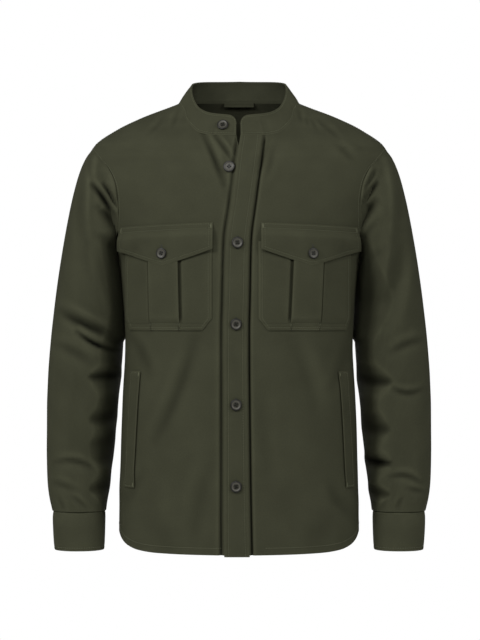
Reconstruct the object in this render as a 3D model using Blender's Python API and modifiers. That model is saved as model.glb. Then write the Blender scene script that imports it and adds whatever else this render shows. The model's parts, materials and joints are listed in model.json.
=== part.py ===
"""Shirt jacket with a band collar, filled out and hollow, as if it were worn by nobody.

Metres, +Z up. The front faces -Y, and the wearer's left side is at +X. The origin is midway
between the two points where the neck seam meets the shoulder seams, which is where the
wearer's shoulders hold the garment. The tables are in millimetres, as a cutter writes them,
and every point is turned to metres when it goes into a mesh.

A place on the body is an angle and a height: 0 degrees at the centre front, 90 at the side
seam and 180 at the centre back.
"""

import math
from bisect import bisect_right
from collections import namedtuple
from functools import lru_cache

import bmesh
import bpy
from mathutils import Vector

MM = 0.001
WELD = 0.00001  # metres: the two ends of a tube are merged within this distance

# ---------------------------------------------------------------- sizes, in millimetres

BODY_CLOTH = 1.6
BAND_CLOTH = 3.0  # collar and cuffs are two layers with an interlining
PLACKET_CLOTH = 2.4
POCKET_CLOTH = 1.5
PLEAT_RISE = 1.6  # the box pleat stands on the pocket by one more layer
FLAP_CLOTH = 2.0
WELT_CLOTH = 1.8
LOOP_CLOTH = 1.5
SEAM = 0.3  # open seam between neighbouring pieces
LIE = 1.25  # air under the corners of a piece that lies on another: both are faceted
SEAT = 0.45  # air under the front band and under the buttons, which bend less
FRONT_WIDTH, BACK_WIDTH = 250, 500  # along the cloth at the chest: what a seam is a share of

# Half widths and depths of the filled-out body, from the back of the neck down to the hem.
Section = namedtuple("Section", "height half_width front back power")
BODY = (
    Section(6, 82, 28, 56, 2.0),
    Section(0, 94, 30, 60, 2.05),
    Section(-27, 162, 46, 76, 2.1),
    Section(-43, 194, 63, 85, 2.15),
    Section(-72, 233, 91, 97, 2.2),
    Section(-92, 241, 103, 103, 2.2),
    Section(-140, 229, 118, 112, 2.3),
    Section(-205, 205, 127, 115, 2.3),
    Section(-270, 189.5, 129, 109, 2.4),
    Section(-390, 182, 126, 104, 2.45),
    Section(-475, 186, 126, 106, 2.5),
    Section(-600, 190, 127, 109, 2.5),
    Section(-720, 192, 126, 110, 2.5),
)

# The seam of neck and body, and the shirt-tail hem, at each angle round the body.
Edge = namedtuple("Edge", "angle height")
NECK_SEAM = (
    Edge(0, -57),
    Edge(10, -56.5),
    Edge(16, -53),
    Edge(24, -38),
    Edge(40, -15),
    Edge(65, -3.5),
    Edge(90, 0),
    Edge(135, 4),
    Edge(180, 6),
)
HEM = (
    Edge(0, -711),
    Edge(38, -708),
    Edge(50, -703),
    Edge(60, -692),
    Edge(76, -683),
    Edge(90, -680),
    Edge(104, -683),
    Edge(120, -695),
    Edge(132, -707),
    Edge(180, -715),
)

# The front band lies over the right front. "under" is where the right front ends below it.
Band = namedtuple("Band", "height left right under")
PLACKET = (
    Band(-57, 2.3, 37, -4),
    Band(-100, -3.7, 31.5, 3.5),
    Band(-160, -10.2, 23.5, 9.5),
    Band(-228, -19.3, 15.4, 9.5),
    Band(-316, -21.6, 13.5, 8),
    Band(-363, -22.9, 12.5, 7),
    Band(-579, -22.9, 14.4, 8.5),
    Band(-711, -22.9, 16.8, 11),
)
PLACKET_UNDERLAP = 4  # the left front runs this far under its band
PLACKET_DROP = 2  # the band ends this far below the hem
PLACKET_SHARES = (0, 0.18, 0.5, 0.82, 1)  # its columns across: closer at the two edges

# The body's rows: side seam, armhole and shoulder seam, and where they meet the front edge.
SIDE_ROWS, ARMHOLE_ROWS, SHOULDER_ROWS = 11, 10, 3
BODY_ROWS = SIDE_ROWS + ARMHOLE_ROWS + SHOULDER_ROWS
Rise = namedtuple("Rise", "row height")
FRONT_RISE = (
    Rise(0, -711),
    Rise(SIDE_ROWS, -287),
    Rise(SIDE_ROWS + ARMHOLE_ROWS, -106),
    Rise(BODY_ROWS, -57),
)
FRONT_COLUMNS, BACK_COLUMNS = 15, 18
FRONT_CROWDING = 1.25  # above 1, the columns stand closer at the centre front
SHOULDER_LEAN = 6  # degrees: the shoulder seam lies this far in front of the ridge

# The armhole is a lean oval round the side, wider at the front than at the back.
ARMHOLE_TOP, ARMHOLE_LOW = -72, -270
ARMHOLE_FRONT, ARMHOLE_BACK = (33.5, 16), (28, 12)  # degrees: mean spread, and more at the top

# Sleeve rings from the armhole to the cuff: outer and inner edge as seen from the front.
Ring = namedtuple("Ring", "number outer_x outer_z inner_x inner_z depth shift")
SLEEVE = (
    Ring(0, 233, -72, 190, -270, 66, 2),
    Ring(1, 246, -91, 191, -274, 69, 2),
    Ring(2, 256, -115, 191.5, -279, 71, 2),
    Ring(3, 266, -152, 191.5, -287, 72, 2),
    Ring(4, 275, -195, 190, -300, 72, 3),
    Ring(5, 283, -240, 188.7, -318, 71, 4),
    Ring(6, 290, -285, 187.3, -342, 70, 5),
    Ring(7, 296, -330, 186.5, -368, 68, 7),
    Ring(8, 302, -385, 188, -398, 66, 8),
    Ring(9, 306, -440, 191.5, -442, 63, 8),
    Ring(10, 307.5, -490, 196, -490, 60, 6),
    Ring(11, 307.5, -545, 200.5, -545, 56, 2),
    Ring(12, 306, -600, 206, -600, 52, -4),
    Ring(13, 302, -632, 210, -632, 48, -8),
    Ring(14, 296.5, -650, 213, -650, 45, -10),
)
SLEEVE_ROWS = 28
SLEEVE_POWER = 2.15
ARMHOLE_FADE = 3.0  # rings over which the armhole's shape turns into a plain oval
SLEEVE_CLEAR = 2.2  # a hanging sleeve stays this far off the body's form
SLEEVE_SEAM = 0.4  # the sleeve starts this far down the arm from the armhole

CUFF_COLUMNS, CUFF_ROWS = 24, 3
CUFF = (
    Ring(0, 296, -650.4, 213.5, -650.4, 44.5, -10),
    Ring(1, 297, -662, 213, -662, 45, -10.5),
    Ring(2, 296, -685, 213.5, -685, 44, -11),
    Ring(3, 294, -712, 214.5, -712, 42, -12),
)
CUFF_START, CUFF_LAP, CUFF_CLIMB = 298, 26, 40  # degrees: at the back, towards the outside
CUFF_BUTTON_LAP, CUFF_BUTTON_RING = 0.35, 1.5  # share of the lap, and the ring it lies on

# The collar band: where it stands on the neck seam, and its top edge.
Stand = namedtuple("Stand", "turn body_angle top")
COLLAR = (
    Stand(0, 0, -26),
    Stand(15, 6, -24),
    Stand(28, 12, -22),
    Stand(37, 16, -20),
    Stand(54, 24, -12),
    Stand(65, 31, -2),
    Stand(77, 40, 12),
    Stand(88, 65, 24),
    Stand(98, 90, 31),
    Stand(139, 135, 38),
    Stand(180, 180, 40),
)
COLLAR_TOP_HALF_WIDTH, COLLAR_TOP_FRONT, COLLAR_TOP_BACK = 76, 63, 54
COLLAR_ENDS = (3.0, 1.7)  # degrees of turn that the right and the left end stop short
COLLAR_CORNER = 13  # radius of the two front corners
COLLAR_COLUMNS, COLLAR_ROWS = 48, 2
COLLAR_BOW = 1.0  # how far the band's middle stands out from the line between its edges
COLLAR_CURL = 0.55  # from 0, even columns, to 1: the columns crowd towards the front ends
COLLAR_SEAM = 1.05  # the band starts this far above the neck seam, over the turned-in cloth

# Chest pockets, seen from the front. Distances are from the centre, positive outwards.
Pocket = namedtuple("Pocket", "side bag_in bag_out flap_in flap_out tip pleat_top pleat_low")
POCKETS = (
    Pocket("right", 41.7, 178.5, 40.0, 185.5, 117, 117, 114),
    Pocket("left", 30.0, 175.5, 34.0, 185.5, 112, 108, 102),
)
BAG_TOP, BAG_CHAMFER, BAG_LOW = -226, -345, -364
BAG_CLIP_IN, BAG_CLIP_OUT = 15, 8  # how much narrower the bag is at its foot, seen in front
BAG_COLUMNS = (4, 1, 4, 1, 6)  # between its edges and the pleat's: closer where it curves more
BAG_ROWS = (BAG_LOW, -354.5, BAG_CHAMFER, -322, -300, -278, -256, -240, BAG_TOP)
PLEAT_HALF_WIDTH = 22
PLEAT_EDGE = 1.2  # the pleat's side climbs over this width
FLAP_TOP_IN, FLAP_TOP_OUT = -197, -202
FLAP_LOW, FLAP_TIP = -238, -263
FLAP_SEWN = 10  # the flap lies flat for this far below its top seam
FLAP_COLUMNS = (6, 8)
FLAP_ROWS = (0, 0.25, 0.5, 0.75, 1)  # shares of the way up from the lower edge

# Slanted side pocket welts: inner and outer edge at top and foot.
Welt = namedtuple("Welt", "side top foot in_top out_top in_foot out_foot")
WELTS = (
    Welt("right", -427, -610, 152.5, 170.5, 164, 180),
    Welt("left", -427, -610, 155, 171, 166, 182),
)
WELT_COLUMNS, WELT_ROWS = 3, 9

LOOP_HALF_LENGTH, LOOP_LOW, LOOP_TOP, LOOP_BOW = 24, -2, 5.4, 1.6
LOOP_COLUMNS = 8

# Soft folds and hollows. Places are seen from the front, x outwards from the centre.
Fold = namedtuple("Fold", "x0 z0 x1 z1 width depth")
SLEEVE_FOLDS_FRONT = (
    Fold(232, -130, 194, -188, 13, 3.5),
    Fold(216, -172, 192, -214, 12, 4.0),
    Fold(248, -165, 244, -265, 15, 2.5),
    Fold(278, -336, 196, -374, 14, 4.5),
    Fold(294, -384, 218, -406, 13, 3.5),
    Fold(246, -434, 196, -438, 13, 3.5),
    Fold(246, -500, 200, -506, 12, 3.0),
    Fold(290, -560, 204, -566, 13, 3.5),
)
SLEEVE_FOLDS_BACK = (
    Fold(240, -120, 198, -190, 14, 3.5),
    Fold(222, -180, 196, -226, 13, 3.5),
    Fold(284, -352, 200, -330, 15, 4.0),
    Fold(292, -408, 214, -386, 14, 3.5),
    Fold(262, -468, 198, -456, 14, 3.0),
    Fold(284, -530, 208, -546, 14, 3.0),
)
BODY_FOLDS_FRONT = (
    Fold(62, -66, 24, -128, 12, 2.0),
    Fold(178, -250, 150, -232, 12, 1.5),
    Fold(70, -385, 128, -545, 22, 2.5),
    Fold(150, -640, 110, -712, 20, 2.0),
)
BODY_FOLDS_BACK = (
    Fold(176, -250, 96, -216, 16, 3.0),
    Fold(120, -250, 84, -470, 24, 4.0),
    Fold(40, -420, 52, -690, 24, 3.5),
    Fold(146, -430, 128, -700, 22, 3.0),
)
FOLD_ENDS = 0.12  # share of its length over which a fold has already begun at its ends
VALLEY_RIGHT, VALLEY_LEFT = (2.8, 10), (3.2, 7)  # depth, and distance from the front band
VALLEY_TOP, VALLEY_FADE = -62, 30  # the hollows beside the band begin below the neck seam

# Buttons: kind, then height and x from the front; the fastened ones lie on the front band.
BUTTON, FLAP_BUTTON, CUFF_BUTTON = 18.0, 17.0, 15.0
BUTTON_THICKNESS, BUTTON_RIM, BUTTON_DISH = 3.2, 1.9, 0.9
BUTTON_STEPS = 12
THREAD_HOLE, THREAD_SPACING = 1.0, 1.7  # radius, and distance from the button's axis
THREAD_HOLE_SIDES = 5
NECK_BUTTON_TURN, NECK_BUTTON_RISE = 17.5, 0.42
SECOND_BUTTON = (-15.4, -110.5)
PLACKET_BUTTONS = ((-2.3, -228), (-4.4, -353.5), (-4.4, -478), (-4.4, -604))
FLAP_BUTTON_HEIGHT = -244
NECK_STAND_OFF, CUFF_STAND_OFF = 0.5, 0.5  # air under the buttons on the two bent bands

OLIVE, OLIVE_BAND, OLIVE_DARK = "#3F4032", "#3D3F30", "#33342A"
HORN = "#26241F"


# ---------------------------------------------------------------- reading the tables


@lru_cache(maxsize=None)
def curve(rows, key, value):
    """A smooth curve through one column of a table, which never overshoots its rows."""
    places = sorted((getattr(row, key), getattr(row, value)) for row in rows)
    at, heights = zip(*places)
    gaps = [b - a for a, b in zip(at, at[1:])]
    slopes = [(b - a) / gap for a, b, gap in zip(heights, heights[1:], gaps)]
    leans = [slopes[0]]
    for before, after in zip(slopes, slopes[1:]):
        turns = before * after <= 0
        leans.append(0 if turns else 2 * before * after / (before + after))
    leans.append(slopes[-1])

    def read(place):
        place = min(max(place, at[0]), at[-1])
        i = min(bisect_right(at, place) - 1, len(gaps) - 1)
        u = (place - at[i]) / gaps[i]
        start = (1 + 2 * u) * (1 - u) ** 2 * heights[i] + u * (1 - u) ** 2 * gaps[i] * leans[i]
        end = u * u * (3 - 2 * u) * heights[i + 1] + u * u * (u - 1) * gaps[i] * leans[i + 1]
        return start + end

    return read


def between(low, high, share):
    return low + (high - low) * share


def ease(share):
    """0 below 0, 1 above 1, and a soft S in between."""
    share = min(max(share, 0), 1)
    return share * share * (3 - 2 * share)


def hollow(fold, x, z):
    """How deep a fold is at a place: a soft trough that runs out at both ends."""
    start, line = Vector((fold.x0, fold.z0)), Vector((fold.x1 - fold.x0, fold.z1 - fold.z0))
    spot = Vector((x, z)) - start
    along = min(max(spot.dot(line) / line.length_squared, 0), 1)
    aside = (spot - line * along).length / fold.width
    swell = math.sin(math.pi * between(FOLD_ENDS, 1 - FOLD_ENDS, along))
    return fold.depth * math.exp(-aside * aside) * swell


# ---------------------------------------------------------------- the body's form


@lru_cache(maxsize=None)
def section(height):
    columns = ("half_width", "front", "back", "power")
    return tuple(curve(BODY, "height", name)(height) for name in columns)


def angle_at(x, height):
    """The angle whose point on the body has this x."""
    half_width, _, _, power = section(height)
    share = min(abs(x) / half_width, 0.9999) ** power
    angle = math.degrees(math.atan((share / (1 - share)) ** (1 / power)))
    return math.copysign(angle, x)


def valley(sizes, distance):
    """The hollow in a front where it goes in under the edge of the front band."""
    depth, centre = sizes
    return depth * math.sin(math.pi / 2 * min(max(distance / centre, 0), 2)) ** 2


def body_relief(x, y, z):
    """What the folds and the hollows beside the front band take off the body's form."""
    if y > 0:
        return sum(hollow(fold, abs(x), z) for fold in BODY_FOLDS_BACK)
    left, right = (curve(PLACKET, "height", edge)(z) for edge in ("left", "right"))
    beside = valley(VALLEY_RIGHT, left - x) + valley(VALLEY_LEFT, x - right)
    beside *= ease((VALLEY_TOP - z) / VALLEY_FADE)
    return beside + sum(hollow(fold, abs(x), z) for fold in BODY_FOLDS_FRONT)


def body_normal(point):
    """The direction out of the body at a point on its form."""

    def level(x, y, z):
        half_width, front, back, power = section(z)
        depth = front if y < 0 else back
        return abs(x / half_width) ** power + abs(y / depth) ** power

    x, y, z = point
    step = 0.5
    rise = Vector(
        (
            level(x + step, y, z) - level(x - step, y, z),
            level(x, y + step, z) - level(x, y - step, z),
            level(x, y, z + step) - level(x, y, z - step),
        )
    )
    return rise.normalized()


def on_body(angle, height):
    """A point of the body with its folds, and the direction out of it."""
    half_width, front, back, power = section(height)
    across, along = math.sin(math.radians(angle)), math.cos(math.radians(angle))
    reach = (abs(across) ** power + abs(along) ** power) ** (-1 / power)
    depth = front if along > 0 else back
    point = Vector((half_width * reach * across, -depth * reach * along, height))
    outward = body_normal(point)
    return point - outward * body_relief(*point), outward


# ---------------------------------------------------------------- making cloth pieces


def add(name, mesh, colour, roughness):
    """Put a finished bmesh into the garment's collection, with a material of its own."""
    data = bpy.data.meshes.new(name)
    mesh.to_mesh(data)
    mesh.free()
    return add_data(name, data, colour, roughness)


def add_data(name, data, colour, roughness):
    piece = bpy.data.objects.new(name, data)
    garment.objects.link(piece)
    finish = bpy.data.materials.new(name + " finish")
    finish.use_nodes = True
    shader = finish.node_tree.nodes["Principled BSDF"]
    shader.inputs["Base Color"].default_value = (*linear(colour), 1)
    shader.inputs["Roughness"].default_value = roughness
    shader.inputs["Metallic"].default_value = 0
    if data.materials:
        piece.material_slots[0].link = "OBJECT"
        piece.material_slots[0].material = finish
    else:
        data.materials.append(finish)
    return piece


def linear(colour):
    """An sRGB hex colour as three linear values."""
    shares = [int(colour[i : i + 2], 16) / 255 for i in (1, 3, 5)]
    return [c / 12.92 if c <= 0.04045 else ((c + 0.055) / 1.055) ** 2.4 for c in shares]


def wall(name, columns, rows, place, closed=False, colour=OLIVE, roughness=0.85):
    """A piece of cloth: a grid laid on its outer face, and a second one on its inner face.

    place(i, j) gives the outer and the inner point of column i and row j, in millimetres.
    """
    mesh = bmesh.new()
    bmesh.ops.create_grid(mesh, x_segments=columns, y_segments=rows, size=0.5)
    inner = mesh.verts.layers.float_vector.new("inner")
    for corner in mesh.verts:
        i, j = round((corner.co.x + 0.5) * columns), round((corner.co.y + 0.5) * rows)
        outside, inside = place(i, j)
        corner.co = outside * MM
        corner[inner] = inside * MM
    if closed:
        bmesh.ops.remove_doubles(mesh, verts=mesh.verts, dist=WELD)
    lining = bmesh.ops.extrude_face_region(mesh, geom=mesh.faces[:], use_keep_orig=True)
    for corner in lining["geom"]:
        if isinstance(corner, bmesh.types.BMVert):
            corner.co = corner[inner]
    bmesh.ops.recalc_face_normals(mesh, faces=mesh.faces)
    if mesh.calc_volume(signed=True) < 0:
        bmesh.ops.reverse_faces(mesh, faces=mesh.faces[:])
    return add(name, mesh, colour, roughness)


def mirrored(point, side):
    return Vector((-point.x, point.y, point.z)) if side == "right" else point


# ---------------------------------------------------------------- fronts and back


def armhole(turn, at_front):
    """Angle and height on the armhole seam: turn 0 at the shoulder, 180 under the arm."""
    up, round_side = math.cos(math.radians(turn)), math.sin(math.radians(turn))
    mean, more = ARMHOLE_FRONT if at_front else ARMHOLE_BACK
    spread = (mean + more * up) * round_side
    height = (ARMHOLE_TOP + ARMHOLE_LOW) / 2 + (ARMHOLE_TOP - ARMHOLE_LOW) / 2 * up
    return Vector((90 - spread if at_front else 90 + spread, height))


def outer_edge(row, at_front):
    """Angle and height along the side seam, the armhole and the shoulder seam."""
    if row <= SIDE_ROWS:
        return Vector((90, between(hem(90), ARMHOLE_LOW, row / SIDE_ROWS)))
    if row <= SIDE_ROWS + ARMHOLE_ROWS:
        return armhole(180 * (SIDE_ROWS + ARMHOLE_ROWS - row) / ARMHOLE_ROWS, at_front)
    share = (row - SIDE_ROWS - ARMHOLE_ROWS) / SHOULDER_ROWS
    angle = 90 - SHOULDER_LEAN * ease(1.5 * share)
    return Vector((angle, between(ARMHOLE_TOP, neck_seam(angle), share)))


def hem(angle):
    return curve(HEM, "angle", "height")(abs(angle))


def neck_seam(angle):
    return curve(NECK_SEAM, "angle", "height")(abs(angle))


def filled(s, t, near, far, low, high):
    """A smooth sheet of angle and height between four edges, which meet at its corners."""
    sides = near(t) * (1 - s) + far(t) * s
    ends = low(s) * (1 - t) + high(s) * t
    corners = (near(0) * (1 - s) + far(0) * s) * (1 - t) + (near(1) * (1 - s) + far(1) * s) * t
    return sides + ends - corners


def front_edge(side, height):
    """How far the centre edge of a front is from the centre line, towards its own side."""
    if side == "left":
        return curve(PLACKET, "height", "right")(height) - PLACKET_UNDERLAP
    return -curve(PLACKET, "height", "under")(height)


@lru_cache(maxsize=None)
def front_net(side):
    """The grid of a front: rows of (point, outward), from the hem up and the centre out."""

    def near(t):
        height = curve(FRONT_RISE, "row", "height")(t * BODY_ROWS)
        return Vector((angle_at(front_edge(side, height), height), height))

    def far(t):
        return outer_edge(t * BODY_ROWS, True)

    def low(s):
        angle = between(near(0).x, far(0).x, s)
        return Vector((angle, hem(angle)))

    def high(s):
        angle = between(near(1).x, far(1).x, s)
        return Vector((angle, neck_seam(angle)))

    seam_share = 1 - SEAM / 2 / FRONT_WIDTH  # half the open seam at the side
    net = []
    for row in range(BODY_ROWS + 1):
        line = []
        for column in range(FRONT_COLUMNS + 1):
            s = (column / FRONT_COLUMNS) ** FRONT_CROWDING * seam_share
            angle, height = filled(s, row / BODY_ROWS, near, far, low, high)
            line.append(body_spot(angle, height, side))
        net.append(line)
    return net


def body_spot(angle, height, side):
    return on_body(-angle if side == "right" else angle, height)


def make_front(side):
    net = front_net(side)

    def place(i, j):
        point, outward = net[j][i]
        return point, point - outward * BODY_CLOTH

    wall(f"front_{side}", FRONT_COLUMNS, BODY_ROWS, place)


def make_back():
    def near(t):
        return outer_edge(t * BODY_ROWS, False)

    def far(t):
        angle, height = near(t)
        return Vector((360 - angle, height))

    def low(s):
        angle = between(90, 270, s)
        return Vector((angle, hem(180 - abs(angle - 180))))

    def high(s):
        angle = between(near(1).x, far(1).x, s)
        return Vector((angle, neck_seam(180 - abs(angle - 180))))

    seam_share = SEAM / 2 / BACK_WIDTH  # half the open seam at each side

    def place(i, j):
        s = between(seam_share, 1 - seam_share, i / BACK_COLUMNS)
        angle, height = filled(s, j / BODY_ROWS, near, far, low, high)
        point, outward = on_body(angle, height)
        return point, point - outward * BODY_CLOTH

    wall("back", BACK_COLUMNS, BODY_ROWS, place)


def make_placket():
    """The front band, on both fronts: its rows are the fronts' rows."""

    def place(i, j):
        height = curve(FRONT_RISE, "row", "height")(j)
        left, right = (curve(PLACKET, "height", edge)(height) for edge in ("left", "right"))
        point, outward = on_body(angle_at(between(left, right, PLACKET_SHARES[i]), height), height)
        if j == 0:
            point.z -= PLACKET_DROP
        if j == BODY_ROWS:
            point -= Vector((0, outward.z, -outward.y)) * 2 * SEAM
        return point + outward * (SEAT + PLACKET_CLOTH), point + outward * SEAT

    wall("placket", len(PLACKET_SHARES) - 1, BODY_ROWS, place, colour=OLIVE_BAND)


# ---------------------------------------------------------------- collar


def collar_spot(turn, rise):
    """A point on the outer face of the collar: turn 0 at the front, 180 at the back."""
    side, turn = math.copysign(1, turn), abs(turn)
    angle = curve(COLLAR, "turn", "body_angle")(turn)
    base, _ = on_body(angle, neck_seam(angle))
    across, along = math.sin(math.radians(turn)), math.cos(math.radians(turn))
    depth = COLLAR_TOP_FRONT if along > 0 else COLLAR_TOP_BACK
    top = Vector((COLLAR_TOP_HALF_WIDTH * across, -depth * along, 0))
    top.z = curve(COLLAR, "turn", "top")(turn)
    away = Vector((across, -along, 0)) * COLLAR_BOW * math.sin(math.pi * rise)
    point = base.lerp(top, rise) + away + Vector((0, 0, COLLAR_SEAM))
    return Vector((point.x * side, point.y, point.z))


def collar_out(turn, rise):
    """The direction out of the collar."""
    step = 1.0
    low, high = collar_spot(turn, max(rise - 0.1, 0)), collar_spot(turn, min(rise + 0.1, 1))
    here = abs(turn)
    before, after = (collar_spot(math.copysign(t, turn), rise) for t in (here - step, here + step))
    out = (after - before).cross(high - low)
    return out.normalized() * math.copysign(1, out.dot(Vector((low.x, low.y, 0))))


def make_collar():
    right_end, left_end = COLLAR_ENDS
    whole = 360 - right_end - left_end

    def turn_of(share):
        share -= COLLAR_CURL * math.sin(2 * math.pi * share) / (2 * math.pi)
        turn = right_end + whole * share
        return -turn if turn <= 180 else 360 - turn

    def full_height(share):
        """The band is lower in its two rounded front corners."""
        turn, end = turn_of(share), turn_of(0 if share < 0.5 else 1)
        inset = (collar_spot(turn, 1) - collar_spot(end, 1)).length
        stand = (collar_spot(turn, 1) - collar_spot(turn, 0)).length
        short = max(COLLAR_CORNER - inset, 0)
        return 1 - (COLLAR_CORNER - math.sqrt(COLLAR_CORNER**2 - short**2)) / stand

    def place(i, j):
        share = i / COLLAR_COLUMNS
        turn = turn_of(share)
        rise = j / COLLAR_ROWS * full_height(share)
        outside, outward = collar_spot(turn, rise), collar_out(turn, rise)
        if j == 0:
            outward = Vector((outward.x, outward.y, 0)).normalized()
        return outside, outside - outward * BAND_CLOTH

    wall("collar", COLLAR_COLUMNS, COLLAR_ROWS, place, colour=OLIVE_BAND)


# ---------------------------------------------------------------- sleeves and cuffs


def oval(rings, number, turn, swell=0):
    """A point on a leaning oval ring: turn 0 at the outer edge, 90 at the front."""
    x0, z0, x1, z1, depth, shift = (
        curve(rings, "number", name)(number)
        for name in ("outer_x", "outer_z", "inner_x", "inner_z", "depth", "shift")
    )
    centre = Vector(((x0 + x1) / 2, shift, (z0 + z1) / 2))
    outwards = Vector(((x0 - x1) / 2, 0, (z0 - z1) / 2))
    across, along = math.cos(math.radians(turn)), -math.sin(math.radians(turn))
    reach = (abs(across) ** SLEEVE_POWER + abs(along) ** SLEEVE_POWER) ** (-1 / SLEEVE_POWER)
    arm = outwards * across * reach + Vector((0, depth * along * reach, 0))
    return centre + arm * (1 + swell / arm.length)


def sleeve_spot(turn, number):
    """A point on a sleeve: ring 0 is the armhole seam."""
    point = oval(SLEEVE, number, turn)
    if number < ARMHOLE_FADE:
        at_front = turn % 360 <= 180
        down = turn % 360 if at_front else 360 - turn % 360
        seam, _ = on_body(*armhole(down, at_front))
        point += (seam - oval(SLEEVE, 0, turn)) * (1 - number / ARMHOLE_FADE) ** 2
    folds = SLEEVE_FOLDS_FRONT if turn % 360 <= 180 else SLEEVE_FOLDS_BACK
    depth = sum(hollow(fold, point.x, point.z) for fold in folds)
    depth *= abs(math.sin(math.radians(turn))) ** 0.5 * ease(number / 1.5)
    centre = (oval(SLEEVE, number, 0) + oval(SLEEVE, number, 180)) / 2
    point += (centre - point).normalized() * depth
    point.x = max(point.x, body_side(point.y, point.z) + SLEEVE_CLEAR * ease(4 * number))
    return point


def body_side(y, z):
    """How far out the body's form reaches at a depth and a height."""
    half_width, front, back, power = section(z)
    share = min(abs(y) / (front if y < 0 else back), 1)
    return half_width * (1 - share**power) ** (1 / power)


def sleeve_wall(turn, number):
    """The outer and the inner point of a sleeve."""
    step = 0.05
    point = sleeve_spot(turn, number)
    round_arm = sleeve_spot(turn + 2, number) - sleeve_spot(turn - 2, number)
    last = SLEEVE[-1].number
    down_arm = sleeve_spot(turn, min(number + step, last)) - sleeve_spot(turn, max(number - step, 0))
    outward = round_arm.cross(down_arm).normalized()
    if number == 0:
        point += down_arm.normalized() * SLEEVE_SEAM
    if number == last:
        outward = Vector((outward.x, outward.y, 0)).normalized()
    return point, point - outward * BODY_CLOTH


def make_sleeve(side):
    columns = 2 * ARMHOLE_ROWS

    def place(i, j):
        outside, inside = sleeve_wall(360 * (i % columns) / columns, SLEEVE[-1].number * j / SLEEVE_ROWS)
        return mirrored(outside, side), mirrored(inside, side)

    wall(f"sleeve_{side}", columns, SLEEVE_ROWS, place, closed=True)


def cuff_wall(past_start, number):
    """The cuff is a strip wound round the wrist, whose end laps over its start."""
    whole = 360 + CUFF_LAP
    climb = ease((past_start - (whole - CUFF_LAP - CUFF_CLIMB)) / CUFF_CLIMB)
    lift = climb * (BAND_CLOTH + LIE)
    turn = CUFF_START + past_start
    return oval(CUFF, number, turn, lift), oval(CUFF, number, turn, lift - BAND_CLOTH)


def make_cuff(side):
    def place(i, j):
        outside, inside = cuff_wall((360 + CUFF_LAP) * i / CUFF_COLUMNS, CUFF[-1].number * j / CUFF_ROWS)
        return mirrored(outside, side), mirrored(inside, side)

    wall(f"cuff_{side}", CUFF_COLUMNS, CUFF_ROWS, place, colour=OLIVE_BAND)


# ---------------------------------------------------------------- pieces that lie on a front


def on_front(side, s, t):
    """A place on a front's own facets: s in columns from the centre, t in rows from the hem."""
    net = front_net(side)
    i, j = min(int(s), FRONT_COLUMNS - 1), min(int(t), BODY_ROWS - 1)
    u, v = s - i, t - j
    corners = (net[j][i], net[j][i + 1], net[j + 1][i], net[j + 1][i + 1])
    shares = ((1 - u) * (1 - v), u * (1 - v), (1 - u) * v, u * v)
    point = sum((corner[0] * share for corner, share in zip(corners, shares)), Vector())
    outward = sum((corner[1] * share for corner, share in zip(corners, shares)), Vector())
    return point, outward.normalized()


def sought(value_at, target, low, high):
    """Where a value that grows from low to high reaches its target."""
    for _ in range(30):
        middle = (low + high) / 2
        low, high = (middle, high) if value_at(middle) < target else (low, middle)
    return (low + high) / 2


def row_at(side, s, height):
    return sought(lambda t: on_front(side, s, t)[0].z, height, 0, BODY_ROWS)


def front_place(side, x, height):
    """The column and row of a place given by its distance from the centre and its height."""
    sign = -1 if side == "right" else 1
    s, t = FRONT_COLUMNS / 2, BODY_ROWS / 2
    for _ in range(6):
        t = row_at(side, s, height)
        s = sought(lambda s: on_front(side, s, t)[0].x * sign, x, 0, FRONT_COLUMNS)
    return s, t


def spread(marks, counts):
    """Distances from the centre: the marks, with so many even columns from each to the next."""
    places = [marks[0]]
    for near, far, count in zip(marks, marks[1:], counts):
        places += [between(near, far, step / count) for step in range(1, count + 1)]
    return places


def front_spot(side, x, height):
    """The point and the outward direction of a front at a distance from the centre."""
    return on_front(side, *front_place(side, x, height))


def make_pocket(pocket):
    """A patch pocket with clipped corners and a box pleat that stands up down its middle."""

    def pleat_middle(height):
        return between(pocket.pleat_low, pocket.pleat_top, (height - BAG_LOW) / (BAG_TOP - BAG_LOW))

    def places(height):
        middle = pleat_middle(height)
        clip = min(max((BAG_CHAMFER - height) / (BAG_CHAMFER - BAG_LOW), 0), 1)
        steps = (-PLEAT_HALF_WIDTH, PLEAT_EDGE - PLEAT_HALF_WIDTH)
        pleat = [middle + step for step in (*steps, -steps[1], -steps[0])]
        first, last = pocket.bag_in + clip * BAG_CLIP_IN, pocket.bag_out - clip * BAG_CLIP_OUT
        return spread((first, *pleat, last), BAG_COLUMNS)

    def place(i, j):
        height = BAG_ROWS[j]
        x = places(height)[i]
        point, outward = front_spot(pocket.side, x, height)
        on_pleat = (PLEAT_HALF_WIDTH - abs(x - pleat_middle(height))) / PLEAT_EDGE
        rise = PLEAT_RISE * min(max(on_pleat, 0), 1)
        return point + outward * (LIE + POCKET_CLOTH + rise), point + outward * LIE

    wall(f"pocket_{pocket.side}", sum(BAG_COLUMNS), len(BAG_ROWS) - 1, place)


def flap_edges(pocket, x):
    """Heights of a flap's top seam and of its pointed lower edge."""
    top = between(FLAP_TOP_IN, FLAP_TOP_OUT, (x - pocket.flap_in) / (pocket.flap_out - pocket.flap_in))
    end = pocket.flap_in if x < pocket.tip else pocket.flap_out
    return top, between(FLAP_TIP, FLAP_LOW, (x - pocket.tip) / (end - pocket.tip))


def flap_lift(drop):
    """Air under a flap, which leans out from its seam to clear the pocket and its pleat."""
    over_pocket = LIE + POCKET_CLOTH + PLEAT_RISE + LIE + SEAM
    return between(LIE, over_pocket, ease((drop - FLAP_SEWN * 0.3) / (FLAP_SEWN * 1.6)))


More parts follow.
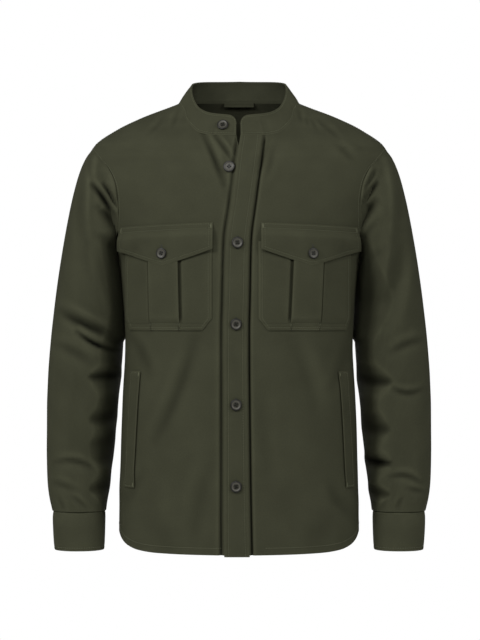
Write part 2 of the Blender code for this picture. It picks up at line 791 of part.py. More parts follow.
def make_flap(pocket):
    """A pointed pocket flap, which hangs from its top seam over the pocket."""
    places = spread((pocket.flap_in, pocket.tip, pocket.flap_out), FLAP_COLUMNS)

    def place(i, j):
        top, foot = flap_edges(pocket, places[i])
        height = between(foot, top, FLAP_ROWS[j])
        point, outward = front_spot(pocket.side, places[i], height)
        lift = flap_lift(top - height)
        return point + outward * (lift + FLAP_CLOTH), point + outward * lift

    wall(f"flap_{pocket.side}", sum(FLAP_COLUMNS), len(FLAP_ROWS) - 1, place)


def make_welt(welt):
    def place(i, j):
        share = j / WELT_ROWS
        near = between(welt.in_foot, welt.in_top, share)
        far = between(welt.out_foot, welt.out_top, share)
        height = between(welt.foot, welt.top, share)
        x = between(near, far, i / WELT_COLUMNS)
        point, outward = front_spot(welt.side, x, height)
        return point + outward * (LIE + WELT_CLOTH), point + outward * LIE

    wall(f"welt_{welt.side}", WELT_COLUMNS, WELT_ROWS, place)


def make_hanger_loop():
    """A tape inside the back of the neck, sewn at both ends and a little slack between them."""

    def place(i, j):
        share = i / LOOP_COLUMNS
        x = between(-LOOP_HALF_LENGTH, LOOP_HALF_LENGTH, share)
        height = between(LOOP_LOW, LOOP_TOP, j)
        neck, _ = on_body(180 - angle_at(x, neck_seam(180)), neck_seam(180))
        inwards = BODY_CLOTH + 2 * SEAM + LIE / 2 + LOOP_BOW * math.sin(math.pi * share)
        outside = Vector((x, neck.y - inwards, height))
        return outside, outside - Vector((0, LOOP_CLOTH, 0))

    wall("hanger_loop", LOOP_COLUMNS, 1, place, colour=OLIVE_DARK)


# ---------------------------------------------------------------- buttons


def button_mesh(diameter):
    """A dished button with a raised rim and four thread holes, turned about its axis."""
    radius = diameter / 2
    foot = 0.55 * radius
    profile = (
        (0, BUTTON_THICKNESS - BUTTON_DISH),
        (radius - 2 * BUTTON_RIM, BUTTON_THICKNESS - BUTTON_DISH),
        (radius - 0.8 * BUTTON_RIM, BUTTON_THICKNESS),
        (radius, 0.6 * BUTTON_THICKNESS),
        (foot, 0),
        (0, 0),
    )
    outline = bmesh.new()
    corners = [outline.verts.new((x * MM, 0, z * MM)) for x, z in profile]
    for first, second in zip(corners, corners[1:]):
        outline.edges.new((first, second))
    blank = add("button blank", outline, HORN, 0.4)
    turned = blank.modifiers.new("turned", "SCREW")
    turned.steps = turned.render_steps = BUTTON_STEPS
    turned.use_merge_vertices = True
    turned.merge_threshold = WELD
    for number in range(4):
        drill = hole_cutter(math.radians(45 + 90 * number))
        cut = blank.modifiers.new("thread hole", "BOOLEAN")
        cut.operation, cut.object = "DIFFERENCE", drill
    bpy.context.view_layer.update()
    shown = blank.evaluated_get(bpy.context.evaluated_depsgraph_get())
    data = bpy.data.meshes.new_from_object(shown)
    data.materials.clear()
    for used in [blank] + list(cutters.objects):
        bpy.data.objects.remove(used)
    data.shade_smooth()
    data.set_sharp_from_angle(angle=math.radians(35))
    return data


def hole_cutter(angle):
    mesh = bmesh.new()
    bmesh.ops.create_cone(
        mesh,
        cap_ends=True,
        segments=THREAD_HOLE_SIDES,
        radius1=THREAD_HOLE * MM,
        radius2=THREAD_HOLE * MM,
        depth=4 * BUTTON_THICKNESS * MM,
    )
    data = bpy.data.meshes.new("thread hole")
    mesh.to_mesh(data)
    mesh.free()
    drill = bpy.data.objects.new("thread hole", data)
    drill.location = Vector((math.cos(angle), math.sin(angle), 0)) * THREAD_SPACING * MM
    drill.hide_render = True
    drill.display_type = "WIRE"
    cutters.objects.link(drill)
    return drill


def sew_on(name, data, point, outward, stand_off):
    """Set a button on a point of the cloth, with its face along the outward direction."""
    button = add_data(name, data, HORN, 0.4)
    button.location = (point + outward * stand_off) * MM
    button.rotation_mode = "QUATERNION"
    button.rotation_quaternion = outward.to_track_quat("Z", "Y")


def make_buttons():
    front, flap, cuff = (button_mesh(d) for d in (BUTTON, FLAP_BUTTON, CUFF_BUTTON))
    for data in (front, flap, cuff):
        data.materials.append(None)

    turn = -NECK_BUTTON_TURN
    sew_on(
        "button_collar",
        front,
        collar_spot(turn, NECK_BUTTON_RISE),
        collar_out(turn, NECK_BUTTON_RISE),
        NECK_STAND_OFF,
    )
    x, height = SECOND_BUTTON
    spot = front_spot("right", -x, height)
    sew_on("button_second", front, *spot, LIE)
    for number, (x, height) in enumerate(PLACKET_BUTTONS, 1):
        spot = on_body(angle_at(x, height), height)
        sew_on(f"button_front_{number}", front, *spot, 2 * SEAT + PLACKET_CLOTH)
    for pocket in POCKETS:
        spot = front_spot(pocket.side, pocket.tip, FLAP_BUTTON_HEIGHT)
        drop = FLAP_TOP_IN - FLAP_BUTTON_HEIGHT
        sew_on(f"button_flap_{pocket.side}", flap, *spot, flap_lift(drop) + FLAP_CLOTH + SEAT)
    for side in ("right", "left"):
        outside, inside = cuff_wall(360 + CUFF_BUTTON_LAP * CUFF_LAP, CUFF_BUTTON_RING)
        point, outward = mirrored(outside, side), mirrored((outside - inside).normalized(), side)
        sew_on(f"button_cuff_{side}", cuff, point, outward, CUFF_STAND_OFF)


# ---------------------------------------------------------------- the whole garment


def new_collection(name):
    collection = bpy.data.collections.new(name)
    bpy.context.scene.collection.children.link(collection)
    return collection


for old in list(bpy.data.objects):
    bpy.data.objects.remove(old)
garment, cutters = new_collection("shirt jacket"), new_collection("cutters")

make_back()
for each_side in ("right", "left"):
    make_front(each_side)
    make_sleeve(each_side)
    make_cuff(each_side)
make_placket()
make_collar()
for each_pocket in POCKETS:
    make_pocket(each_pocket)
    make_flap(each_pocket)
for each_welt in WELTS:
    make_welt(each_welt)
make_hanger_loop()
make_buttons()
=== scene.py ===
# %% [markdown]
# # A shirt jacket of olive twill
# The jacket is filled out as if worn, with nobody in it. The CAD frame already holds every cut
# piece as a closed solid, with its large folds. This lesson dresses that frame: each solid is
# replaced by a fine shell of cloth on the same form, with the small creases, the folded pleats,
# the topstitching and the weave that show from a step away.

import json
import math
from bisect import bisect_right
from collections import namedtuple
from functools import lru_cache

import bmesh
import bpy
from mathutils import Matrix, Vector, noise
from mathutils.bvhtree import BVHTree

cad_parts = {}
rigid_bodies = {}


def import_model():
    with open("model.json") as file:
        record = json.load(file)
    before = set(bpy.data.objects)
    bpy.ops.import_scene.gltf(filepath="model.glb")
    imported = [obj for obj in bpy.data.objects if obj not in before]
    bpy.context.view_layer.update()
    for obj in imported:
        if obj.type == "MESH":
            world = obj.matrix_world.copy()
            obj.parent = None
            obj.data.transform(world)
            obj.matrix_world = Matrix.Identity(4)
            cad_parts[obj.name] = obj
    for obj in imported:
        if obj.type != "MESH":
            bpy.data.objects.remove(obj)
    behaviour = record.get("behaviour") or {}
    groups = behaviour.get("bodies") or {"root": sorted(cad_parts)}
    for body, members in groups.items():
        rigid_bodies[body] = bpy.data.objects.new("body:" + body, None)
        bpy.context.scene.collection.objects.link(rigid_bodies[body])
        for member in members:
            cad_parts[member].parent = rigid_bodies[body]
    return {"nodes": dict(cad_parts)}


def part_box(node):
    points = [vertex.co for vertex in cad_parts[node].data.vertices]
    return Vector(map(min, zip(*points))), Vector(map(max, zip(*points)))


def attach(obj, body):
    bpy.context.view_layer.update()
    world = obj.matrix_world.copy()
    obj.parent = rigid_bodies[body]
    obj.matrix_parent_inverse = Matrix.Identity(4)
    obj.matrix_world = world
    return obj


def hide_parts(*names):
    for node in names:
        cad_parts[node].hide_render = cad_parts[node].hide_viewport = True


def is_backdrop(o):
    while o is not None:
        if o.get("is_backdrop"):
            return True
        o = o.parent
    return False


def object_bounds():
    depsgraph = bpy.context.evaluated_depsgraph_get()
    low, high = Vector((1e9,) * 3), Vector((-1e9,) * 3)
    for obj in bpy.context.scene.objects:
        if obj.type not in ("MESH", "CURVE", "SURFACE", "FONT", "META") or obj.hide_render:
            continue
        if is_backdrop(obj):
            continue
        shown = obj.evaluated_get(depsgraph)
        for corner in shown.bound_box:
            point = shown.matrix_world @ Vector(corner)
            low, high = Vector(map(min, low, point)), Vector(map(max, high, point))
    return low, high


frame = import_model()
cad_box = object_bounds()
MM = 0.001
WAY = {"right": -1, "left": 1}  # the wearer's right side is at -X, the left side at +X


def rounded(values, digits=3):
    return [round(value, digits) for value in values]


print("frame:", len(frame["nodes"]), "nodes, box", [rounded(corner) for corner in cad_box])

# %% [markdown]
# ## Reading a pattern cutter's tables
# A cutter writes a garment down as a few sizes at a few heights. A smooth curve through such a
# column gives the size at any height between. This curve never overshoots its rows, so a waist
# can't come out slimmer than it was written.

# %% Curves through tables
@lru_cache(maxsize=None)
def curve(rows, key, value):
    """A smooth curve through one column of a table, which never overshoots its rows."""
    places = sorted((getattr(row, key), getattr(row, value)) for row in rows)
    at, heights = zip(*places)
    gaps = [b - a for a, b in zip(at, at[1:])]
    slopes = [(b - a) / gap for a, b, gap in zip(heights, heights[1:], gaps)]
    leans = [slopes[0]]
    for before, after in zip(slopes, slopes[1:]):
        leans.append(0 if before * after <= 0 else 2 * before * after / (before + after))
    leans.append(slopes[-1])

    def read(place):
        place = min(max(place, at[0]), at[-1])
        i = min(bisect_right(at, place) - 1, len(gaps) - 1)
        u = (place - at[i]) / gaps[i]
        start = (1 + 2 * u) * (1 - u) ** 2 * heights[i] + u * (1 - u) ** 2 * gaps[i] * leans[i]
        end = u * u * (3 - 2 * u) * heights[i + 1] + u * u * (u - 1) * gaps[i] * leans[i + 1]
        return start + end

    return read


def between(low, high, share):
    return low + (high - low) * share


def ease(share):
    """0 below 0, 1 above 1, and a soft S in between."""
    share = min(max(share, 0), 1)
    return share * share * (3 - 2 * share)


def bump_at(distance, width):
    """1 at no distance, and softly 0 from about twice the width."""
    return math.exp(-((distance / width) ** 2))


def steps(marks, counts):
    """The marks, with so many even steps from each to the next."""
    places = [marks[0]]
    for near, far, count in zip(marks, marks[1:], counts):
        places += [between(near, far, step / count) for step in range(1, count + 1)]
    return places


print("ease(0.5) =", ease(0.5))

# %% [markdown]
# ## Creases
# A crease in heavy twill is a soft trough with a rolled lip on its upper side. Each one is a
# row of a table: where it starts and ends as seen from the front, how far it bows, and how wide
# and deep it is. A ridge is a crease with a negative depth. They are placed one by one, so that
# no two are alike, as on a real sleeve.

# %% One crease
Crease = namedtuple("Crease", "x0 z0 x1 z1 bow width depth")
LIP, LIP_PLACE = 0.42, 1.7  # height of the rolled lip, and its distance in crease widths
CREASE_ENDS = 0.1  # how far into its swell a crease already is at its two ends
CREASE_REACH = 3.5  # widths away at which a crease is no longer felt
WAVES_LONGER = 1.6  # the soft waves are this much longer down the cloth than across it


def crease_depth(crease, x, z):
    """How far a crease takes the cloth in at a place, in millimetres."""
    along_x, along_z = crease.x1 - crease.x0, crease.z1 - crease.z0
    length = math.hypot(along_x, along_z)
    reach = CREASE_REACH * crease.width + abs(crease.bow)
    dx, dz = x - crease.x0, z - crease.z0
    share = (dx * along_x + dz * along_z) / length**2
    if not -reach / length < share < 1 + reach / length:
        return 0
    upper = 1 if along_x >= 0 else -1
    aside = (dz * along_x - dx * along_z) / length * upper
    if abs(aside) > reach:
        return 0
    inside = min(max(share, 0), 1)
    aside -= crease.bow * 4 * inside * (1 - inside)
    past = (share - inside) * length
    fade = bump_at(past, crease.width)
    aside /= crease.width
    shape = math.exp(-aside * aside) - LIP * math.exp(-((aside - LIP_PLACE) ** 2))
    swell = math.sin(math.pi * between(CREASE_ENDS, 1 - CREASE_ENDS, inside))
    return crease.depth * shape * swell * fade


def relief(creases, x, z):
    return sum(crease_depth(crease, x, z) for crease in creases)


def unevenness(point, size, seed=0.0):
    """Cloth is never quite flat: a soft wave of about 1, with a size in millimetres."""
    height = point.z / size / WAVES_LONGER
    return noise.noise(Vector((point.x / size, point.y / size, height + seed)))


shown = Crease(x0=0, z0=0, x1=60, z1=0, bow=0, width=8, depth=3)
print("a crease of 3 mm at its middle:", round(crease_depth(shown, 30, 0), 2), "mm")

# %% [markdown]
# ## The form of the body
# The body is a stack of rounded sections, which the CAD frame is built from too. A place on it
# is an angle and a height: 0 degrees at the centre front, 90 at the side seam, 180 at the
# centre back. Every panel, band, pocket and button is found on this one form, so nothing
# floats and nothing sinks in.

# %% Sizes of the body
Section = namedtuple("Section", "height half_width front back power")
BODY = (
    Section(6, 82, 28, 56, 2.0),
    Section(0, 94, 30, 60, 2.05),
    Section(-27, 162, 46, 76, 2.1),
    Section(-43, 194, 63, 85, 2.15),
    Section(-72, 233, 91, 97, 2.2),
    Section(-92, 241, 103, 103, 2.2),
    Section(-140, 229, 118, 112, 2.3),
    Section(-205, 205, 127, 115, 2.3),
    Section(-270, 189.5, 129, 109, 2.4),
    Section(-390, 182, 126, 104, 2.45),
    Section(-475, 186, 126, 106, 2.5),
    Section(-600, 190, 127, 109, 2.5),
    Section(-720, 192, 126, 110, 2.5),
)
CENTRE_NECK, CENTRE_HEM = -57, -711  # the neck seam and the hem at the centre front
Edge = namedtuple("Edge", "angle height")
NECK_SEAM = (
    Edge(0, CENTRE_NECK),
    Edge(10, -56.5),
    Edge(16, -53),
    Edge(24, -38),
    Edge(40, -15),
    Edge(65, -3.5),
    Edge(90, 0),
    Edge(135, 4),
    Edge(180, 6),
)
HEM = (
    Edge(0, CENTRE_HEM),
    Edge(38, -709),
    Edge(50, -706),
    Edge(60, -700),
    Edge(69, -692),
    Edge(79, -683),
    Edge(90, -680),
    Edge(101, -683),
    Edge(111, -692),
    Edge(120, -700),
    Edge(132, -708),
    Edge(180, -715),
)
Band = namedtuple("Band", "height left right under")
PLACKET = (
    Band(CENTRE_NECK, 2.3, 37, -4),
    Band(-100, -3.7, 31.5, 3.5),
    Band(-160, -10.2, 23.5, 9.5),
    Band(-228, -19.3, 15.4, 9.5),
    Band(-316, -21.6, 13.5, 8),
    Band(-363, -22.9, 12.5, 7),
    Band(-579, -22.9, 14.4, 8.5),
    Band(CENTRE_HEM, -22.9, 16.8, 11),
)
print("body:", len(BODY), "sections; band:", len(PLACKET), "rows")

# %% Creases of the body, in millimetres as seen from the front, x to the wearer's left
BOTH_FRONTS = (  # written for the left side, and mirrored to the right one
    Crease(62, -66, 24, -128, 0, 12, 2.6),
    Crease(178, -250, 150, -232, 0, 12, 2.0),
    Crease(70, -385, 128, -545, 0, 22, 3.2),
    Crease(150, -640, 110, -712, 0, 20, 2.6),
)
RIGHT_FRONT = (
    Crease(-58, -52, -24, -138, 2, 5.0, 4.0),
    Crease(-38, -58, -8, -104, 1, 4.0, 3.4),
    Crease(-26, -96, -15, -168, 0, 7, 2.6),
    Crease(-95, -14, -104, -44, 1, 4.5, 1.2),
    Crease(-118, -24, -140, -52, -1, 4.5, 1.2),
    Crease(-68, -377, -131, -534, -5, 10, 2.9),
    Crease(-172, -372, -140, -430, 3, 10, 2.2),
    Crease(-40, -560, -70, -690, 4, 13, 2.2),
    Crease(-178, -640, -150, -585, 3, 10, 2.0),
)
LEFT_FRONT = (
    Crease(45, -58, 32, -120, 0, 6, 4.0),
    Crease(94, -12, 99, -34, 0, 4, 1.3),
    Crease(105, -25, 110, -40, 0, 3.5, 1.0),
    Crease(111, -27, 123, -47, 1, 4, 1.2),
    Crease(122, -28, 156, -61, 2, 5, 1.5),
    Crease(150, -70, 178, -96, 1, 6, 1.7),
    Crease(52, -78, 40, -130, -2, 6, 2.0),
    Crease(82, -380, 122, -500, 5, 12, 2.4),
    Crease(174, -380, 148, -452, -3, 10, 2.0),
    Crease(34, -450, 46, -600, -3, 12, 1.9),
    Crease(176, -655, 140, -600, -3, 11, 2.0),
)
BACK_PAIRS = (  # each of these is on both sides
    Crease(176, -250, 96, -216, 0, 16, 3.6),
    Crease(120, -250, 84, -470, 0, 24, 4.8),
    Crease(40, -420, 52, -690, 0, 24, 4.2),
    Crease(146, -430, 128, -700, 0, 22, 3.6),
)
BACK = (
    *BACK_PAIRS,
    *(crease._replace(x0=-crease.x0, x1=-crease.x1) for crease in BACK_PAIRS),
    Crease(150, -180, 60, -168, 4, 9, 1.7),
    Crease(-156, -196, -72, -178, 5, 8, 1.8),
    Crease(96, -300, 120, -400, 4, 10, 1.9),
    Crease(-88, -330, -116, -440, -5, 9, 1.8),
    Crease(10, -250, -14, -430, 6, 14, 1.7),
    Crease(-6, -470, 12, -660, 5, 12, 1.6),
    Crease(-20, -36, 60, -48, 4, 9, 1.1),
    Crease(170, -560, 120, -610, 4, 10, 1.7),
    Crease(-172, -540, -112, -596, -4, 10, 1.6),
)
Valley = namedtuple("Valley", "depth distance")  # deepest so far from the edge of the front band
VALLEY_RIGHT, VALLEY_LEFT = Valley(4.0, 4.6), Valley(5.6, 3.4)
VALLEY_TOP, VALLEY_FADE = -52, 16  # the hollows beside the band begin below the neck seam
CREASE_FADE = 8  # creases of one front start this gently beside the band
BODY_WAVE, BODY_WAVE_SIZE = 0.5, 42  # height and size of the soft waves all over the body
print("body creases:", len(BOTH_FRONTS), len(RIGHT_FRONT), len(LEFT_FRONT), len(BACK))


# %% The form of the body as functions
SIDE_LIMIT = 0.9999  # the angle of a place beyond this share of the half width is the side's
SLOPE_STEP = 0.5  # millimetres to each side over which a slope is measured


@lru_cache(maxsize=None)
def section(height):
    columns = ("half_width", "front", "back", "power")
    return tuple(curve(BODY, "height", name)(height) for name in columns)


def angle_at(x, height):
    """The angle whose point on the body has this x."""
    half_width, _, _, power = section(height)
    share = min(abs(x) / half_width, SIDE_LIMIT) ** power
    angle = math.degrees(math.atan((share / (1 - share)) ** (1 / power)))
    return math.copysign(angle, x)


def band_edges(height):
    return (curve(PLACKET, "height", edge)(height) for edge in ("left", "right"))


def valley(sizes, distance):
    """The hollow in a front where it goes in under the edge of the front band."""
    return sizes.depth * math.sin(math.pi / 2 * min(max(distance / sizes.distance, 0), 2)) ** 2


def body_relief(x, y, z):
    """How far all creases and hollows take the body's cloth in at a place."""
    if y > 0:
        return relief(BACK, x, z)
    left, right = band_edges(z)
    beside = valley(VALLEY_RIGHT, left - x) + valley(VALLEY_LEFT, x - right)
    beside *= ease((VALLEY_TOP - z) / VALLEY_FADE)
    off_band = ease(max(left - x, x - right) / CREASE_FADE)
    own = LEFT_FRONT if x > 0 else RIGHT_FRONT
    return beside + relief(BOTH_FRONTS, abs(x), z) + relief(own, x, z) * off_band


def body_out(point):
    """The direction out of the body: the way in which its formula grows fastest at a point."""
    slope = []
    for axis in range(3):
        ends = []
        for way in (SLOPE_STEP, -SLOPE_STEP):
            spot = list(point)
            spot[axis] += way
            x, y, z = spot
            half_width, front, back, power = section(z)
            depth = front if point.y < 0 else back
            ends.append(abs(x / half_width) ** power + abs(y / depth) ** power)
        slope.append(ends[0] - ends[1])
    return Vector(slope).normalized()


def on_body(angle, height):
    """A point of the body with its folds, and the direction out of it."""
    half_width, front, back, power = section(height)
    across, along = math.sin(math.radians(angle)), math.cos(math.radians(angle))
    reach = (abs(across) ** power + abs(along) ** power) ** (-1 / power)
    depth = front if along > 0 else back
    point = Vector((half_width * reach * across, -depth * reach * along, height))
    outward = body_out(point)
    soft = BODY_WAVE * unevenness(point, BODY_WAVE_SIZE)
    return point - outward * (body_relief(*point) - soft), outward


def front_spot(x, height):
    """A point of the fronts, and the direction out of it, at a place seen from the front."""
    return on_body(angle_at(x, height), height)


print("centre front at the chest:", rounded(front_spot(0, -200)[0], 1))

# %% [markdown]
# ## Making cloth
# Real cloth is a sheet, so each piece starts as a flat grid whose points are moved to their
# places on the form. A Solidify modifier gives it its thickness inwards, and a small Bevel
# rounds the cut rim. The UV map holds the distance along the cloth in metres, so that the
# weave keeps its real size round every bend, and an attribute holds the distance from the
# nearest edge in millimetres, because that is where dyed cotton rubs pale.

# %% The cloth maker
HOLLOW_ROUNDS = 14  # rounds of smoothing that take the small folds out of a piece
RIM_SEGMENTS, RIM_ANGLE = 2, 70  # only edges sharper than this many degrees are rounded
WELD = 0.01 * MM  # corners closer than this are one
surfaces = {}  # each piece's outer face, to find places on it later
flat_sizes = {}  # width, length and area of each piece along its cloth, in metres


def distances(spots, columns, rows):
    """How far each spot of a grid is along its row and along its column, in metres."""
    u, v = {}, {}
    for j in range(rows + 1):
        for i in range(columns + 1):
            u[i, j] = u[i - 1, j] + (spots[i, j] - spots[i - 1, j]).length * MM if i else 0
            v[i, j] = v[i, j - 1] + (spots[i, j] - spots[i, j - 1]).length * MM if j else 0
    return u, v


def mark_hollows(mesh):
    """Note on each corner how deep it lies in a fold, in millimetres: a ridge is below 0."""
    # the depth noted here is used only to paint shade into folds and a highlight onto ridges
    hollow = mesh.verts.layers.float.new("hollow")
    before = [(corner.co.copy(), corner.normal.copy()) for corner in mesh.verts]
    for _ in range(HOLLOW_ROUNDS):
        bmesh.ops.smooth_vert(mesh, verts=mesh.verts, factor=0.5, use_axis_x=True,
                              use_axis_y=True, use_axis_z=True)
    for corner, (spot, out) in zip(mesh.verts, before):
        corner[hollow] = (corner.co - spot).dot(out) / MM
        corner.co = spot
    mesh.normal_update()


def lay_out(mesh, spots, u, v, columns, rows, closed):
    """Move a flat grid to its spots, and note each one's place on the cloth and way to an edge."""
    number = mesh.verts.layers.int.new("number")
    from_edge = mesh.verts.layers.float.new("from_edge")
    uv_map = mesh.loops.layers.uv.new("cloth")
    for corner in mesh.verts:
        i, j = round((corner.co.x + 0.5) * columns), round((corner.co.y + 0.5) * rows)
        corner[number] = i * (rows + 1) + j
        corner.co = spots[i, j] * MM
        ends = [v[i, j], v[i, rows] - v[i, j]]
        if not closed:
            ends += [u[i, j], u[columns, j] - u[i, j]]
        corner[from_edge] = min(ends) / MM
    for face in mesh.faces:
        for loop in face.loops:
            spot = divmod(loop.vert[number], rows + 1)
            loop[uv_map].uv = (u[spot], v[spot])
    mesh.verts.layers.int.remove(mesh.verts.layers.int["number"])


def thicken(piece, thick, rim):
    """Give cloth its thickness inwards, with its reverse side there, and a soft rim."""
    # the inside faces take a darker copy of the twill: partly the reverse side's own tone, partly
    # painted shade for the jacket's inside
    piece.data.materials.append(shaded_inside_twill)
    shell = piece.modifiers.new("cloth thickness", "SOLIDIFY")
    shell.thickness, shell.offset, shell.material_offset = thick * MM, -1, 1
    if rim:
        edge = piece.modifiers.new("soft rim", "BEVEL")
        edge.width, edge.segments, edge.limit_method = rim * MM, RIM_SEGMENTS, "ANGLE"
        edge.angle_limit = math.radians(RIM_ANGLE)
        edge.use_clamp_overlap = True


def cloth(name, columns, rows, place, outward, thick, material, closed=False, rim=0.4):
    """A piece of cloth of one thickness, on the points that place(i, j) gives in millimetres.

    The function outward gives a rough direction out of the jacket, which settles the outer face.
    """
    mesh = bmesh.new()
    bmesh.ops.create_grid(mesh, x_segments=columns, y_segments=rows, size=0.5)
    spots = {(i, j): place(i, j) for i in range(columns + 1) for j in range(rows + 1)}
    u, v = distances(spots, columns, rows)
    lay_out(mesh, spots, u, v, columns, rows, closed)
    if closed:
        bmesh.ops.remove_doubles(mesh, verts=mesh.verts, dist=WELD)
    mesh.normal_update()
    if sum(face.normal.dot(outward(face.calc_center_median())) for face in mesh.faces) < 0:
        bmesh.ops.reverse_faces(mesh, faces=mesh.faces)
    mesh.normal_update()
    mark_hollows(mesh)
    surfaces[name] = BVHTree.FromBMesh(mesh)
    area = sum(face.calc_area() for face in mesh.faces)
    flat_sizes[name] = (max(u.values()), max(v.values()), area)
    piece = as_piece(name, mesh, material)
    thicken(piece, thick, rim)
    return piece


def as_piece(name, mesh, material):
    """A finished bmesh as an object at the origin, riding on the jacket's one body."""
    data = bpy.data.meshes.new(name)
    mesh.to_mesh(data)
    mesh.free()
    data.shade_smooth()
    piece = bpy.data.objects.new(name, data)
    bpy.context.scene.collection.objects.link(piece)
    data.materials.append(material)
    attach(piece, "root")
    return piece


def away_from_axis(place):
    return Vector((place.x, place.y, 0))


def forwards(place):
    return Vector((0, -1, 0))


print("cloth maker ready")

# %% [markdown]
# ## Shader helpers
# Colours are written as sRGB hex, as a dye chart gives them, and one function turns them to
# the linear values that shaders need. Another adds a node with its settings and its links.

# %% Colours and nodes
def linear(colour):
    shares = [int(colour[i : i + 2], 16) / 255 for i in (1, 3, 5)]
    return [c / 12.92 if c <= 0.04045 else ((c + 0.055) / 1.055) ** 2.4 for c in shares] + [1]


def new_material(name):
    material = bpy.data.materials.new(name)
    material.use_nodes = True
    material.node_tree.nodes.clear()
    return material


def add_node(material, kind, inputs=(), **settings):
    """A node of one kind. An input is a value, or the output socket of another node."""
    tree = material.node_tree
    node = tree.nodes.new(kind)
    for name, value in settings.items():
        setattr(node, name, value)
    for name, value in dict(inputs).items():
        if isinstance(value, bpy.types.NodeSocket):
            tree.links.new(value, node.inputs[name])
        else:
            node.inputs[name].default_value = value
    return node


print("olive in linear light:", rounded(linear("#424334")[:3]))

# %% [markdown]
# ## Cotton twill
# The jacket is a heavy cotton twill, woven with a diagonal rib and dyed olive, a matte cloth
# with hardly any shine. Its ribs are 0.8 mm apart on the real cloth. Four things make it: the
# diagonal rib and the single yarns as bump, a fine mottle from uneven yarns, the dye, which rubs
# pale along edges, and painted shade and painted highlight, which darken the colour down in the
# folds and pale it on the ridges. Both the painted shade and the painted highlight are drawn
# stronger than on the real cloth, because soft studio light shows folds weakly.

# %% The twill
RIB = 1.1  # millimetres between ribs: a little coarser than the real 0.8, so that it shows
RIB_LEAN = math.radians(45)
RIB_HEIGHT = 0.35  # millimetres
WAVE_PERIOD = math.pi / 10  # a wave texture at scale 1 repeats after this many units
SLUB, SLUB_CONTRAST = 2.6, 0.2  # length of the uneven places in the yarn, and how strong they are
CLOUD, CLOUD_CONTRAST = 55, 0.07  # size of the paler and darker places that the dye bath leaves
RIDGE, DEEP = 0.9, 3.0  # millimetres proud or sunk at which the painted highlight is palest and the painted shade darkest
RIDGE_PAINTED_HIGHLIGHT, FOLD_PAINTED_SHADE = 1.22, 0.1  # how bright the painted highlight and painted shade make it there, where flat cloth has about 1
WEAR_START, WEAR_END = 0.2, 2.6  # millimetres from an edge: fully rubbed, and no longer rubbed
FACTOR, FIRST, SECOND, MIXED = 0, 6, 7, 2  # a Mix node has sockets for each type: these do colours


def twill(name, colour, pale, edge_wear=0.2):
    stuff = new_material(name)
    where = add_node(stuff, "ShaderNodeUVMap", uv_map="cloth").outputs["UV"]
    turned = add_node(
        stuff, "ShaderNodeMapping", {"Vector": where, "Rotation": (0, 0, RIB_LEAN)}
    ).outputs["Vector"]
    ribs = add_node(
        stuff, "ShaderNodeTexWave",
        {"Vector": turned, "Scale": WAVE_PERIOD / (RIB * MM), "Distortion": 1.2, "Detail": 1,
         "Detail Scale": 1.5},
    ).outputs["Fac"]
    yarns = add_node(
        stuff, "ShaderNodeTexNoise", {"Vector": where, "Scale": 1 / (RIB * MM), "Detail": 2}
    ).outputs["Fac"]
    height = add_node(
        stuff, "ShaderNodeMath", {0: ribs, 1: yarns}, operation="MULTIPLY"
    ).outputs["Value"]
    weave = add_node(
        stuff, "ShaderNodeBump", {"Height": height, "Strength": 0.55, "Distance": RIB_HEIGHT * MM}
    ).outputs["Normal"]
    finish_shader(stuff, dye_and_paint_shade(stuff, where, colour, pale, edge_wear), 0.95, 0.07, weave)
    return stuff


def dye_and_paint_shade(stuff, where, colour, pale, edge_wear):
    """Dyed cloth, mottled and rubbed pale at edges, with painted fold shade and ridge highlight."""
    slubs = add_node(
        stuff, "ShaderNodeTexNoise",
        {"Vector": where, "Scale": 1 / (SLUB * MM), "Detail": 3, "Roughness": 0.7},
    ).outputs["Fac"]
    dark, light = shade(colour, 1 - SLUB_CONTRAST), shade(colour, 1 + SLUB_CONTRAST)
    dyed_and_painted_shade = add_node(
        stuff, "ShaderNodeMix", {FACTOR: slubs, FIRST: dark, SECOND: light}, data_type="RGBA"
    ).outputs[MIXED]
    clouds = add_node(
        stuff, "ShaderNodeTexNoise", {"Vector": where, "Scale": 1 / (CLOUD * MM), "Detail": 2}
    ).outputs["Fac"]
    mottle = add_node(
        stuff, "ShaderNodeMapRange",
        {"Value": clouds, "From Min": 0.3, "From Max": 0.7,
         "To Min": 1 - CLOUD_CONTRAST, "To Max": 1 + CLOUD_CONTRAST},
    ).outputs["Result"]
    # painted shade and painted highlight: darker the deeper a corner lies in a fold, paler on a
    # ridge
    hollow = add_node(stuff, "ShaderNodeAttribute", attribute_name="hollow").outputs["Fac"]
    folds = add_node(
        stuff, "ShaderNodeMapRange",
        {"Value": hollow, "From Min": -RIDGE, "From Max": DEEP,
         "To Min": RIDGE_PAINTED_HIGHLIGHT, "To Max": FOLD_PAINTED_SHADE},
    ).outputs["Result"]
    # the mottle is the dye's own; the fold factor is painted shade and painted highlight
    for share in (mottle, folds):
        dyed_and_painted_shade = add_node(
            stuff, "ShaderNodeMix", {FACTOR: 1, FIRST: dyed_and_painted_shade, SECOND: share},
            data_type="RGBA", blend_type="MULTIPLY",
        ).outputs[MIXED]
    edge = add_node(stuff, "ShaderNodeAttribute", attribute_name="from_edge").outputs["Fac"]
    worn = add_node(
        stuff, "ShaderNodeMapRange",
        {"Value": edge, "From Min": WEAR_START, "From Max": WEAR_END,
         "To Min": edge_wear, "To Max": 0},
    ).outputs["Result"]
    return add_node(
        stuff, "ShaderNodeMix", {FACTOR: worn, FIRST: dyed_and_painted_shade, SECOND: linear(pale)},
        data_type="RGBA",
    ).outputs[MIXED]


def shade(colour, share):
    return [value * share for value in linear(colour)[:3]] + [1]


